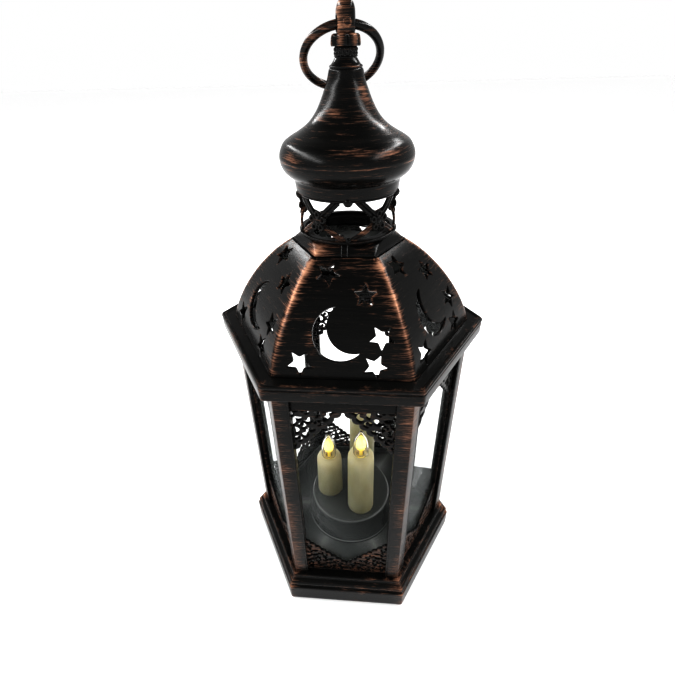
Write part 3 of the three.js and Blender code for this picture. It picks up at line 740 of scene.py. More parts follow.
def arched(a, b, rise):
    """An arc from a to b that bulges to its left by rise."""
    t = np.linspace(0, 1, STROKE_POINTS)[:, None]
    across = np.array([-(b - a)[1], (b - a)[0]]) / np.linalg.norm(b - a)
    return a + (b - a) * t + across * rise * 4 * t * (1 - t)


class Corner:
    """Scrollwork that fills a corner of the opening beyond a slanting scalloped edge.

    Its holes are strokes of varying width. Their sizes are shares of the scallops' pitch. way is
    1 or -1 and mirrors a stroke.
    """

    def __init__(self, start, end, scallops, row_pitch, bar_z):
        self.start = np.array(start, float)
        slant = np.array(end, float) - self.start
        length = np.linalg.norm(slant)
        self.edge = slant / length
        self.pitch = length / scallops
        self.scallops, self.row_pitch, self.bar_z = scallops, row_pitch, bar_z
        self.inward = np.array([-self.edge[1], self.edge[0]])
        if self.inward[1] * (bar_z - start[1]) < 0:
            self.inward = -self.inward

    def at(self, along, depth):
        """A point so far along the slanting edge and so far in from it."""
        return self.start + self.edge * along + self.inward * depth

    def comma(self, along, depth, way):
        tail = self.at(along + 0.44 * way * self.pitch, depth + 0.36 * self.row_pitch)
        head = self.at(along - 0.16 * way * self.pitch, depth - 0.08 * self.row_pitch)
        widths = np.linspace(0.07, 0.27, STROKE_POINTS)
        return arched(tail, head, 0.24 * self.pitch * way), widths * self.pitch

    def leaf(self, along, depth, way):
        foot = self.at(along - 0.3 * way * self.pitch, depth + 0.4 * self.row_pitch)
        tip = self.at(along + 0.2 * way * self.pitch, depth - 0.3 * self.row_pitch)
        widths = 0.05 + 0.15 * np.sin(np.linspace(0, pi, STROKE_POINTS))
        return arched(foot, tip, -0.2 * self.pitch * way), widths * self.pitch

    def curl(self, along, depth, way):
        turn = np.linspace(0.2, 1.65, 12) * pi * way
        radius = 0.29 * self.pitch
        path = [self.at(along + radius * cos(a), depth + radius * sin(a)) for a in turn]
        return np.array(path), np.linspace(0.05, 0.13, len(turn)) * self.pitch

    def holes(self):
        """Commas, curls and leaves in turn, in rows that lean one way and then the other."""
        strokes = []
        for row in range(HOLE_ROWS):
            depth = self.row_pitch * (row + 0.62)
            way = 1 if row % 2 else -1
            for k in range(-HOLE_ROWS, self.scallops + HOLE_ROWS):
                along = self.pitch * (k + 0.5 + 0.37 * row)
                middle = self.at(along, depth)
                past_bar = (middle[1] - self.bar_z) * np.sign(self.bar_z - self.start[1])
                if not -self.pitch < middle[0] < OPENING_HALF + self.pitch or past_bar > self.pitch:
                    continue
                cut = (self.comma, self.curl, self.leaf)[(k + 2 * row) % 3]
                strokes.append(cut(along, depth, way))
        return strokes

    def sheet(self, gx, gz):
        """Distance inside the scalloped edge."""
        x, z = np.abs(gx) - self.start[0], gz - self.start[1]
        along = x * self.edge[0] + z * self.edge[1]
        depth = x * self.inward[0] + z * self.inward[1]
        bump = np.abs(np.sin(np.pi * along / self.pitch)) ** 0.6
        return depth + 0.34 * self.pitch * bump


def stroke_field(strokes, xs, zs):
    """How far inside the strokes each grid point is: 1 on a centre line, 0 on an edge."""
    field = np.full((len(zs), len(xs)), -1.0)
    for path, widths in strokes:
        for a, b, wa, wb in zip(path, path[1:], widths, widths[1:]):
            reach = max(wa, wb) * 2
            i0, i1 = np.searchsorted(xs, (min(a[0], b[0]) - reach, max(a[0], b[0]) + reach))
            j0, j1 = np.searchsorted(zs, (min(a[1], b[1]) - reach, max(a[1], b[1]) + reach))
            if i0 == i1 or j0 == j1:
                continue
            gx, gz = np.meshgrid(xs[i0:i1], zs[j0:j1])
            d = b - a
            t = np.clip(((gx - a[0]) * d[0] + (gz - a[1]) * d[1]) / max(d @ d, 1e-9), 0, 1)
            away = np.hypot(gx - a[0] - t * d[0], gz - a[1] - t * d[1])
            inside = 1 - away / (wa + (wb - wa) * t)
            field[j0:j1, i0:i1] = np.maximum(field[j0:j1, i0:i1], inside)
    return field


def relief(shape, field, xs, zs, height, rim, back, worn):
    """Solid wherever the field is positive, rounded up towards its centre lines."""
    corners, points, faces = {}, [], []

    def lifted(x, z, value):
        swell = math.sqrt(max(0.0, 1 - (1 - min(value, 1.0)) ** 2))
        points.append((x, -(rim + (height - rim) * swell), z, worn * swell))
        return len(points) - 1

    def grid_point(j, i):
        if (j, i) not in corners:
            corners[j, i] = lifted(xs[i], zs[j], field[j, i])
        return corners[j, i]

    def crossing(a, b):
        key = (min(a, b), max(a, b))
        if key not in corners:
            fa, fb = field[key[0]], field[key[1]]
            t = fa / (fa - fb)
            (ja, ia), (jb, ib) = key
            corners[key] = lifted(xs[ia] + t * (xs[ib] - xs[ia]), zs[ja] + t * (zs[jb] - zs[ja]), 0.0)
        return corners[key]

    for j in range(len(zs) - 1):
        for i in range(len(xs) - 1):
            square = [(j, i), (j, i + 1), (j + 1, i + 1), (j + 1, i)]
            if all(field[c] <= 0 for c in square):
                continue
            for tri in ((square[0], square[1], square[2]), (square[0], square[2], square[3])):
                loop = []
                for a, b in zip(tri, tri[1:] + tri[:1]):
                    if field[a] > 0:
                        loop.append(grid_point(*a))
                    if (field[a] > 0) != (field[b] > 0):
                        loop.append(crossing(a, b))
                if len(loop) > 2:
                    faces.append(tuple(loop))
    add_backed(shape, points, faces, back)


def add_backed(shape, points, faces, back):
    """Adds a face of (x, y, z, wear) points with a flat back behind it and walls round it."""
    edges = {(a, b): True for face in faces for a, b in zip(face, face[1:] + face[:1])}
    n = len(points)
    solid = [p[:3] for p in points] + [(p[0], -back, p[2]) for p in points]
    walls = [(b, a, a + n, b + n) for a, b in edges if (b, a) not in edges]
    behind = [tuple(i + n for i in reversed(face)) for face in faces]
    shape.add(solid, faces + behind + walls, [p[3] for p in points] + [0.0] * n)


def corner_field(corner, xs, zs):
    """Positive on the corner's metal, 0 on its edges and negative in its holes."""
    gx, gz = np.meshgrid(xs, zs)
    half = corner.holes()
    holes = stroke_field(half + [(path * (-1, 1), widths) for path, widths in half], xs, zs)
    return np.clip(np.minimum(corner.sheet(gx, gz) / 0.9, -1.5 * holes), -1, 1)


def window_scrolls(shape):
    """Pierced scrollwork in the four corners of the opening, mirrored about its middle."""
    head = Corner((4.6, 163.2), (OPENING_HALF + 0.6, 139.6), 6, 4.9, OPENING_HIGH)
    sill = Corner((0.2, 29.4), (OPENING_HALF + 0.6, 54.4), 8, 4.0, OPENING_LOW)
    crest = np.array([(-6, 164.6), (-4, 166), (0, 167.4), (4, 166), (6, 164.6)])
    xs = np.arange(-OPENING_HALF - GRID, OPENING_HALF + GRID + 0.01, GRID)
    for corner, z0, z1, worn in ((head, 137.2, OPENING_HIGH + GRID, 0.2),
                                 (sill, OPENING_LOW - GRID, 56.6, 0.44)):
        zs = np.arange(z0, z1 + 0.01, GRID)
        field = corner_field(corner, xs, zs)
        if corner is head:
            field = np.maximum(field, stroke_field([(crest, np.full(len(crest), 0.9))], xs, zs))
        relief(shape, field, xs, zs, WINDOW_FACE - 0.1, WINDOW_FACE - 0.9, WINDOW_FACE - 1.5, worn)


def window_pane(i):
    """Clear sheet with eased edges, behind its window."""
    (_, y0, z0), (half, y1, z1) = low("window_pane_1"), high("window_pane_1")
    rows = []
    for inset, y in ((0.12, y0), (0, y0 + 0.12), (0, y1 - 0.12), (0.12, y1)):
        loop = rounded_rectangle(2 * (half - inset), z1 - z0 - 2 * inset, 0.8, (z0 + z1) / 2)
        rows.append(np.column_stack([loop[:, 0], np.full(len(loop), y), loop[:, 1]]))
    shape = Shape()
    shape.loft(rows, caps=True)
    make(f"pane_{i + 1}", shape.turned(60 * i), PANE, f"window_pane_{i + 1}", sharp=50)


def walls():
    """Posts, pierced windows and panes, six of each."""
    post = corner_post()
    window = Shape()
    window_border(window)
    window_scrolls(window)
    for i in range(6):
        make(f"post_{i + 1}", post.turned(300 + 60 * i), BRONZED, f"corner_post_{i + 1}",
             sharp=30)
        make(f"window_{i + 1}", window.turned(60 * i), BRONZED, f"window_frame_{i + 1}",
             sharp=35)
        window_pane(i)


walls()


# ---- eave and dome ----

def eave():
    """Moulded ring over the posts."""
    r = high("eave_frame").x
    z, top = foot_and_top("eave_frame")
    shape = Shape()
    hex_sweep(shape, [
        (r - 13.8, z), (r - 0.7, z), (r - 0.25, z + 0.5), (r - 0.25, top - 3.1),
        (r - 0.75, top - 2.8), (r - 0.75, top - 2.3), (r - 0.1, top - 1.9), (r, top - 0.9),
        (r - 0.7, top), (r - 2.2, top - 0.1), (r - 2.7, top - 0.6), (r - 13.8, top - 0.6)],
        rounding=2.4, edge_wear=0.42, ridge_wear=0.62, ridge_spread=3.4, spread=0.8)
    make("eave_ring", shape, BRONZED, "eave_frame")


DOME_LOW, DOME_HIGH = foot_and_top("roof_dome")
DOME_WALL = 2.0
RIDGE_ROUNDING = 4.2     # radius of the ridges between gores
DOME_CURVE = [(66, DOME_LOW), (61, 206.5), (45, 226.5), (29.4, DOME_HIGH)]
RIM = 0.35               # bevel round the cut-outs
GORE_ROWS = 30
RIDGE_STEPS = [0, 0.55, 1.1, 1.65, 2.2, 3.0, 4.2, 6.0]    # distances in from a ridge
# A star is (x, z, radius, turn).
STARS = [(-7.3, 229.8, 6.0, 190), (9.9, 222.8, 5.6, 0), (17.8, 207.3, 6.0, 180),
         (-19.2, 196.0, 6.4, 180), (15.2, 195.2, 6.0, 192)]
CRESCENT = dict(x=-1.0, z=208.4, radius=12.6, bite=12.3, bite_angle=29, bite_offset=7.0)


def dome_profile():
    """The ridge's curve: corner radius, z, and distance along the middle of a gore."""
    t = np.linspace(0, 1, 400)[:, None]
    p = [np.array(c, float) for c in DOME_CURVE]
    line = ((1 - t) ** 3 * p[0] + 3 * t * (1 - t) ** 2 * p[1] + 3 * t * t * (1 - t) * p[2]
            + t ** 3 * p[3])
    steps = np.hypot(np.diff(line[:, 0]) * COS30, np.diff(line[:, 1]))
    return line[:, 0], line[:, 1], np.concatenate([[0], np.cumsum(steps)])


DOME_R, DOME_Z, DOME_S = dome_profile()
DOME_LENGTH = DOME_S[-1]


def s_at(z):
    """How far up the middle of a gore a height is."""
    return float(np.interp(z, DOME_Z, DOME_S))


def gore_half_width(s):
    """From a gore's middle to its ridge, measured along the skin."""
    return np.interp(s, DOME_S, DOME_R) / 2 - RIDGE_ROUNDING * TAN30 + RIDGE_ROUNDING * pi / 6


def on_gore(x, s, depth):
    """The front gore's point at x across it and s up it, and depth inside its skin."""
    radius, z = np.interp(s, DOME_S, DOME_R), np.interp(s, DOME_S, DOME_Z)
    ahead = min(s + 0.3, DOME_LENGTH)
    behind = max(s - 0.3, 0)
    rise = np.interp(ahead, DOME_S, DOME_Z) - np.interp(behind, DOME_S, DOME_Z)
    run = (np.interp(ahead, DOME_S, DOME_R) - np.interp(behind, DOME_S, DOME_R)) * COS30
    length = math.hypot(rise, run)
    flat = radius / 2 - RIDGE_ROUNDING * TAN30
    swing = max(0.0, abs(x) - flat) / RIDGE_ROUNDING
    side = 1 if x > 0 else -1
    px = side * (min(abs(x), flat) + RIDGE_ROUNDING * sin(swing))
    py = -(radius * COS30 - RIDGE_ROUNDING + RIDGE_ROUNDING * cos(swing))
    outward = np.array([side * sin(swing), -cos(swing)]) * rise / length
    return np.array([px - outward[0] * depth, py - outward[1] * depth, z + run / length * depth])


def star(x, s, radius, turn):
    """A five-pointed star with eased corners."""
    corners = []
    for i in range(10):
        a = radians(90 + turn + 36 * i)
        reach = radius * (0.46 if i % 2 else 1.0)
        corners.append((x + reach * cos(a), s + reach * sin(a)))
    return eased(corners, 0.55, steps=3, closed=True)


def crescent(x, s, radius, bite, bite_angle, bite_offset):
    """A disc less a second disc, the bite, whose centre is offset at an angle."""
    along = (radius ** 2 - bite ** 2 + bite_offset ** 2) / (2 * bite_offset)
    outer_tip = math.acos(along / radius)
    inner_tip = math.acos((along - bite_offset) / bite)
    turn = radians(bite_angle)
    points = []
    for a in np.linspace(turn + outer_tip, turn - outer_tip + 2 * pi, 46)[:-1]:
        points.append((x + radius * cos(a), s + radius * sin(a)))
    bx, bs = x + bite_offset * cos(turn), s + bite_offset * sin(turn)
    for a in np.linspace(turn - inner_tip + 2 * pi, turn + inner_tip, 40)[:-1]:
        points.append((bx + bite * cos(a), bs + bite * sin(a)))
    return np.array(points)


def grown(loop, by):
    """The loop moved outwards by that much."""
    ahead = np.roll(loop, -1, axis=0) - np.roll(loop, 1, axis=0)
    normal = np.column_stack([ahead[:, 1], -ahead[:, 0]])
    normal /= np.linalg.norm(normal, axis=1)[:, None]
    area = np.sum(loop[:, 0] * np.roll(loop[:, 1], -1) - np.roll(loop[:, 0], -1) * loop[:, 1])
    return loop + normal * by * (1 if area > 0 else -1)


def inside_loop(points, loop):
    """Which of the points lie inside the loop."""
    x, y = points[:, 0], points[:, 1]
    hit = np.zeros(len(points), bool)
    for (ax, ay), (bx, by) in zip(loop, np.roll(loop, -1, axis=0)):
        crosses = (ay > y) != (by > y)
        with np.errstate(divide="ignore", invalid="ignore"):
            hit ^= crosses & (x < (bx - ax) * (y - ay) / (by - ay) + ax)
    return hit


def gore_holes():
    """Outlines of the stars and then the crescent, on the gore laid flat."""
    moon = dict(CRESCENT)
    moon["s"] = s_at(moon.pop("z"))
    return [star(x, s_at(z), radius, turn) for x, z, radius, turn in STARS] + [crescent(**moon)]


def gore_grid(wide):
    """Points over the gore, closer by its ridges and clear of its holes."""
    rows = np.linspace(0, DOME_LENGTH, GORE_ROWS)
    points = []
    for s in rows:
        edge = gore_half_width(s)
        xs = {round(sign * (edge - step), 4) for step in RIDGE_STEPS for sign in (1, -1)}
        middle = edge - RIDGE_STEPS[-1]
        xs |= set(np.round(np.linspace(-middle, middle, max(3, int(2 * middle / 2.6))), 4))
        points.extend((x, s) for x in sorted(xs))
    points = np.array(points)
    keep = np.ones(len(points), bool)
    for loop in wide:
        keep &= ~inside_loop(points, grown(loop, 0.5))
    keep |= (points[:, 1] == rows[0]) | (points[:, 1] == rows[-1])
    return points[keep]


def gore_sheet(wide):
    """The flat gore's points, and its triangles without those in the holes."""
    coords = [Vector(p) for p in gore_grid(wide)]
    edges = []
    for loop in wide:
        first, n = len(coords), len(loop)
        edges.extend((first + i, first + (i + 1) % n) for i in range(n))
        coords.extend(Vector(p) for p in loop)
    verts, _, tris, _, _, _ = delaunay_2d_cdt(coords, edges, [], 0, 1e-6)
    flat = np.array([tuple(v) for v in verts])
    centres = np.array([flat[list(t)].mean(axis=0) for t in tris])
    widths = np.array([gore_half_width(s) for s in centres[:, 1]])
    outside = np.abs(centres[:, 0]) > widths + 0.01
    for loop in wide:
        outside |= inside_loop(centres, loop)
    return flat, [t for t, out in zip(tris, outside) if not out]


def gore_wear(flat):
    """Copper on the ridges, beside them, behind the crescent and along the top."""
    x, s = flat[:, 0], flat[:, 1]
    half = np.array([gore_half_width(v) for v in s])
    away = np.maximum(half - np.abs(x), 0)
    ridge = (0.6 + 0.4 * np.clip(s / DOME_LENGTH, 0, 1)) * np.exp(-(away / 2.5) ** 1.2)
    beside = np.where(x > 0, 0.5 * np.exp(-away / 7.5), 0.42 * np.exp(-away / 3.4))
    back_x, back_s = CRESCENT["x"] - CRESCENT["radius"], s_at(CRESCENT["z"])
    behind_moon = 0.5 * np.exp(-(((x - back_x) / 3.4) ** 2 + ((s - back_s + 2) / 8) ** 2))
    top = 0.3 * np.exp(-((DOME_LENGTH - s) / 5.0) ** 2)
    return np.max([ridge, beside, behind_moon, top], axis=0)


def gore():
    """One side of the dome with its cut-outs, as a closed wall but for its two ridges."""
    holes = gore_holes()
    wide = [grown(loop, RIM) for loop in holes]
    flat, tris = gore_sheet(wide)
    skin = [on_gore(x, s, 0) for x, s in flat]
    lining = [on_gore(x, s, DOME_WALL) for x, s in flat]
    shape = Shape()
    shape.add(skin, tris, gore_wear(flat))
    shape.add(lining, [tuple(reversed(t)) for t in tris], 0, kind=1)
    for s_end in (0, DOME_LENGTH):
        at_end = [i for i in range(len(flat)) if abs(flat[i, 1] - s_end) < 1e-5]
        at_end.sort(key=lambda i: flat[i, 0])
        shape.loft([[skin[i] for i in at_end], [lining[i] for i in at_end]], 0.2, round_rows=False)
    for number, (loop, wide_loop) in enumerate(zip(holes, wide)):
        rim = 0.5 if number < 2 else 0.22
        rings = [[on_gore(x, s, depth) for x, s in ring_loop] for ring_loop, depth in (
            (wide_loop, 0), (loop, RIM), (loop, DOME_WALL - RIM), (wide_loop, DOME_WALL))]
        shape.loft(rings, np.array([[rim], [rim], [0.0], [0.0]]) * np.ones((1, len(loop))))
    return shape


def dome():
    """Six gores joined at their ridges, dark plastic inside."""
    one = gore()
    shape = Shape()
    for i in range(6):
        shape.join(one.turned(60 * i))
    make("dome", shape, [BRONZED, INSIDE], "roof_dome", sharp=32, weld=0.02)


def neck():
    """Short ring from the dome's hexagon to the collar's circle, its lower lip inside the dome."""
    z0, z1 = foot_and_top("neck_ring")
    r = high("neck_ring").x
    line = [(r, 1.0, z0), (r - 0.1, 1.6, z0 + 0.5), (r - 0.7, 4, z0 + 1.3), (r - 1.0, 5, z0 + 1.6),
            (26.0, 9, z0 + 2.6), (25.1, 16, z0 + 3.7), (24.5, 20, z0 + 4.7), (24.2, 21, z0 + 5.2),
            (23.8, 21, z1), (20.5, 17, z1), (20.5, 17, z0 + 1.5), (26.6, 3, z0 - 0.4),
            (26.4, 3, z0 - 1.6), (28.3, 1.6, z0 - 1.6), (28.6, 1.0, z0)]
    rows, wear_and_light = [], []
    for radius, rounding, z in line:
        flat, away = hexagon(radius, rounding)
        azimuth = np.degrees(np.arctan2(flat[:, 1], flat[:, 0])) % 360
        left = np.exp(-((azimuth - 236) / 22) ** 2) + 0.6 * np.exp(-((azimuth - 60) / 50) ** 2)
        rows.append(np.column_stack([flat, np.full(len(flat), z)]))
        shows = 1.0 if len(rows) < 10 else 0.0
        wear_and_light.append(shows * (0.1 + 0.26 * np.exp(-away / 3) + 0.5 * left))
    shape = Shape()
    shape.loft(rows, wear_and_light, closed=True)
    for x in (-1.3, 1.3):
        rib = [(x, -23.9 - 0.62 * (z1 - z), z) for z in np.linspace(z0 + 0.8, z1 - 0.3, 6)]
        tube(shape, rib, 0.28, sides=8, wear_and_light=0.02, side_of=lambda point: (0, -1, 0))
    make("neck", shape, BRONZED, "neck_ring", sharp=40)


eave()
dome()
neck()


# ---- collar ----

BAYS = 5
FIRST_KNOB = 274.0       # angle of the first knob on the rims, in degrees


def around(angle, radius, z):
    """A point at an angle in degrees about Z."""
    a = radians(angle)
    return np.array([radius * cos(a), radius * sin(a), z])


def outward(point):
    """The level direction from the axis to a point."""
    return np.array([point[0], point[1], 0.0])


def rosette(shape, angle, z, radius):
    """Flower with five ring-shaped petals round a button, standing on the collar's wall."""
    middle = around(angle, radius, z)
    out = around(angle, 1, 0)
    side = np.array([-out[1], out[0], 0])
    up = np.array([0, 0, 1.0])

    def circle(centre, reach, degrees):
        turns = np.radians(degrees)
        return [centre + reach * (side * cos(t) + up * sin(t)) for t in turns]

    def petal(centre, big, thin, wear_and_light):
        tube(shape, circle(centre, big, np.arange(0, 360, 24)), thin, sides=8, wear_and_light=wear_and_light, closed=True,
             side_of=lambda point: out)

    def disc(centre, size, lift, wear_and_light):
        steps = ((0.02, 1.0), (0.35, 0.93), (0.68, 0.7), (0.92, 0.3), (1.0, -0.2), (1.0, -1.2), (0.02, -1.2))
        shape.loft([circle(centre + out * rise * lift, reach * size, np.arange(0, 360, 20))
                    for reach, rise in steps], wear_and_light, caps=True)

    for spot in circle(middle, 3.15, 90 + 72 * np.arange(5)):
        petal(spot + out * 0.25, 1.2, 0.62, 0.2)
        disc(spot - out * 0.2, 1.1, 0.3, 0.1)
    disc(middle + out * 0.2, 1.75, 0.9, 0.22)
    petal(middle + out * 0.35, 1.75, 0.5, 0.25)
    disc(middle - out * 0.6, 2.9, 0.3, 0.1)


def strap(shape, angles, heights, radius, width, wear_and_light):
    """Bar round the collar with two ridges and a groove between them."""
    for groove, thick in ((-0.5, 1.0), (0.5, 1.0), (0.0, 0.75)):
        path = []
        for t in np.linspace(0, 1, 12):
            angle = angles[0] + (angles[1] - angles[0]) * t
            height = heights[0] + (heights[1] - heights[0]) * t
            path.append(around(angle, radius + 0.3 * sin(pi * t), height))
        path = np.array(path)
        ahead = path[-1] - path[0]
        normal = outward((path[0] + path[-1]) / 2)
        across = np.cross(ahead, normal)
        across /= np.linalg.norm(across)
        tube(shape, path + across * groove * width * 0.5, 0.28 * width * thick, sides=10, wear_and_light=wear_and_light,
             side_of=outward, flatten=0.9 if thick == 1.0 else 0.5)


def collar():
    """Two rims with crossed straps between them, a rosette on each crossing."""
    z0, z1 = foot_and_top("openwork_collar")
    bay = 360 / BAYS
    radius = 22.4
    middle = (z0 + z1) / 2 - 0.4
    shape = Shape()
    lathe(shape, [(21.2, z0 - 0.7), (23.6, z0 - 0.7), (24.0, z0 + 0.3), (23.8, z0 + 0.8),
                  (23.2, z0 + 1.0), (21.2, z0 + 1.0)], segments=90, reach=0.2, edge_wear=0.25)
    lathe(shape, [(21.4, z1 - 0.9), (23.4, z1 - 0.9), (23.7, z1 - 0.5), (23.7, z1), (21.4, z1)],
          segments=90, reach=0.2, edge_wear=0.1)
    for i in range(BAYS):
        knob = FIRST_KNOB + bay * i
        for way in (1, -1):
            strap(shape, (knob + way * 12, knob + way * (bay / 2 - 1)), (z1 - 0.6, middle + 0.6),
                  radius, 3.3, 0.1)
            strap(shape, (knob + way * 4, knob + way * (bay / 2 - 3)), (z0 + 0.9, middle - 1.0),
                  radius, 2.4, 0.52)
        blob(shape, around(knob, radius + 0.6, z1 - 0.6), 2.2, wear_and_light=0.08, height=0.95)
        blob(shape, around(knob, radius + 0.5, z0 + 1.3), 1.5, wear_and_light=0.2, height=0.9)
        rosette(shape, knob + bay / 2, middle, radius + 0.7)
    make("collar", shape, BRONZED, "openwork_collar", sharp=50, weld=0.0)


collar()


# ---- finial and hanger ----

JOINTS = {joint["name"]: joint for joint in frame["joints"]}
RING_AXIS = JOINTS["ring_swing"]["axis"]
RING_PIVOT = np.array(JOINTS["ring_swing"]["pos_m"]) / MM
HANGER_TURN = math.atan2(RING_AXIS[1], RING_AXIS[0])
SEAM_Z = 273.4           # height of the seam round the bulge
SHANK_HOLE = 3.1         # radius inside the finial's tip, the spacer and the nut
EYE_HOLE = 2.65
EYE_SIDES = 48
EYE_SHOULDER = 325.5     # height at which the lug starts to round over
# A rub of copper on the finial is (azimuth, height, spread in degrees, spread in z, strength).
FINIAL_RUBS = [
    (246, 292.4, 30, 2.2, 0.66), (222, 289.6, 22, 1.6, 0.5), (322, 299.0, 20, 6.6, 0.62),
    (276, 279.6, 32, 2.2, 0.62), (308, 278.6, 24, 3.0, 0.62), (225, 276, 26, 2.6, 0.5),
    (250, 270, 30, 1.8, 0.34), (60, 285, 38, 4.0, 0.5), (120, 300, 40, 6.0, 0.5),
    (100, 272, 50, 3.0, 0.42), (180, 283, 26, 3.0, 0.4), (20, 270, 40, 3.0, 0.4),
    (290, 308.2, 60, 0.5, 0.6), (110, 308.2, 70, 0.5, 0.6)]


def finial():
    """Hollow bell with an onion bulge, a seam round it and copper rubbed on in patches."""
    z0, z1 = foot_and_top("finial")
    outer = spline([
        (24.2, z0), (24.4, 262), (24.6, 263.6), (24.8, 265.1), (26.2, 266.2), (27.85, 267.5), (29.2, 269),
        (30.2, 270.9), (30.65, 272.7), (30.8, 274.5), (30.5, 276.3), (29.75, 278.2), (28.4, 280.3),
        (25.6, 282.3), (21.9, 284.3), (18.6, 286.4), (16.1, 288.5), (13.3, 292), (11.1, 296),
        (9.5, 299.7), (8.1, 303.3), (7.25, 306.8)], 110)
    seam = np.abs(outer[:, 1] - SEAM_Z)
    outer[:, 0] -= 0.16 * np.exp(-(seam / 0.28) ** 2)
    tip = [(7.1, 307.2), (6.75, 307.5), (6.75, 307.9), (6.95, 308.2), (6.75, 308.6), (6.2, 308.9),
           (5.6, 309.6), (5.0, 310.5), (4.7, z1), (SHANK_HOLE, z1), (SHANK_HOLE, 305)]
    inner = [(6, 304), (8.2, 298), (12.2, 290.4), (20, 282.4), (26.6, 278), (28.2, 273.6), (26, 268.8),
             (22.8, 265.4), (22.4, z0)]

    def worn(angle, z):
        here = math.degrees(angle)
        total = 0.2 + 0.4 * math.exp(-((z - SEAM_Z - 0.3) / 0.25) ** 2)
        for azimuth, height, wide, tall, strength in FINIAL_RUBS:
            turn = (here - azimuth + 180) % 360 - 180
            total = max(total, strength * math.exp(-(turn / wide) ** 2 - ((z - height) / tall) ** 2))
        return total

    shape = Shape()
    lathe(shape, np.vstack([outer, tip, inner]), segments=144, wear_and_light=worn)
    make("finial_bell", shape, BRONZED, "finial", sharp=45)


def turned_point(x, y, z):
    """A point given in the hanger's own axes, which are turned about Z."""
    a = HANGER_TURN
    return np.array([x * cos(a) - y * sin(a), x * sin(a) + y * cos(a), z])


def bored_rows(reach, heights, count):
    """Rows of points up a part's outside and down its hole: reach(angle, z) is its radius."""
    rows = []
    for radius_at, levels in ((reach, heights), (lambda a, z: SHANK_HOLE, heights[::-1])):
        for z in levels:
            row = []
            for a in whole_turn(count):
                r = radius_at(a, z)
                row.append(turned_point(r * cos(a), r * sin(a), z))
            rows.append(row)
    return rows


def spacer():
    """Small collar with a diamond knurl."""
    z0, z1 = foot_and_top("finial_spacer")

    def reach(a, z):
        edge = max(0.0, min(z - z0, z1 - z))
        if edge < 0.35:
            return 4.5 + 0.4 * edge / 0.35
        knurl = abs(sin(8 * a + 1.2 * (z - z0))) * abs(sin(8 * a - 1.2 * (z - z0)))
        return 4.45 + 0.5 * knurl

    heights = np.concatenate([[z0 - 0.35], np.linspace(z0, z1, 26), [z1 + 0.35]])
    shape = Shape()
    shape.loft(bored_rows(reach, heights, 144), 0.12, closed=True)
    make("knurled_spacer", shape, COPPERED, "finial_spacer", sharp=60)


def nut():
    """Nut with six soft lobes and a deep gap between each two."""
    z0, z1 = foot_and_top("eye_nut")
    middle = (z0 + z1) / 2
    half = (z1 - z0) / 2

    def reach(a, z):
        lobe = abs(cos(3 * (a - radians(2)))) ** 0.55
        barrel = math.sqrt(max(0.0, 1 - 0.42 * ((z - middle) / half) ** 4))
        flare = 1.03 - 0.06 * (z - z0) / (z1 - z0)
        return (4.7 + 1.35 * lobe) * (0.78 + 0.22 * barrel) * flare

    heights = middle + half * np.sin(np.linspace(-pi / 2, pi / 2, 15))
    heights[-1] += 0.35
    shape = Shape()
    shape.loft(bored_rows(reach, heights, 120), 0.5 * np.cos(3 * whole_turn(120)) ** 2 + 0.12, closed=True)
    make("lobed_nut", shape, COPPERED, "eye_nut", sharp=55)


def lug_row(z, foot, top):
    """The lug's outline at a height: an arch from the front, round-topped from the side."""
    rise_x = max(0.0, (z - (top - 4.9)) / 4.95)
    rise_y = max(0.0, (z - (top - 4.7)) / 4.75)
    wide = 3.9 * math.sqrt(max(0.0, 1 - rise_x ** 2)) * (0.9 + 0.1 * min(1, (z - foot) / 1.2))
    wide *= 1.0 - 0.012 * max(0.0, z - 322)
    deep = 4.7 * math.sqrt(max(0.0, 1 - rise_y ** 2)) * (0.82 + 0.18 * min(1, (z - foot) / 2.4))
    row = []
    for t in whole_turn(EYE_SIDES):
        c, s = cos(t), sin(t)
        row.append(turned_point(wide * math.copysign(abs(c) ** 0.74, c),
                                deep * math.copysign(abs(s) ** 0.74, s), z))
    return row


def bore(piece):
    """Cuts the ring's hole through the lug, flared at both ends."""
    ends = []
    for x, flare in ((-6, 1.6), (-4.2, 0.5), (-3.2, 0), (3.2, 0), (4.2, 0.5), (6, 1.6)):
        r = EYE_HOLE + flare
        ends.append([turned_point(x, r * cos(t), RING_PIVOT[2] + r * sin(t))
                     for t in whole_turn(40)])
    shape = Shape()
    shape.loft(ends, 0.1, caps=True)
    cutter = make("eye_bore", shape, COPPERED)
    difference = piece.modifiers.new("bore", "BOOLEAN")
    difference.operation = "DIFFERENCE"
    difference.object = cutter
    difference.solver = "EXACT"
    bpy.context.view_layer.update()
    graph = bpy.context.evaluated_depsgraph_get()
    mesh = bpy.data.meshes.new_from_object(piece.evaluated_get(graph))
    piece.modifiers.clear()
    piece.data = mesh
    mesh.set_sharp_from_angle(angle=radians(50))
    bpy.data.objects.remove(cutter)


def eye():
    """Upright lug bored for the ring, dry-brushed with copper that also paints shading: heavy on its flank
    towards the hanger's -x, thin on its +x flank.
    """
    foot, top = high("eye_nut").z + 0.3, high("hanger_eye").z
    round_over = 1 - np.sin(np.linspace(0.1, pi / 2 - 0.04, 16))
    levels = np.concatenate([np.linspace(foot, EYE_SHOULDER, 16), top - (top - EYE_SHOULDER) * round_over])
    shape = Shape()
    # Painted shading on top of the copper wear: 0.66 on the -x flank falling to 0.06 on the +x flank.
    shape.loft([lug_row(z, foot, top) for z in levels], 0.36 - 0.3 * np.cos(whole_turn(EYE_SIDES)), caps=True)
    bore(make("eye_lug", shape, COPPERED, "hanger_eye", sharp=50))


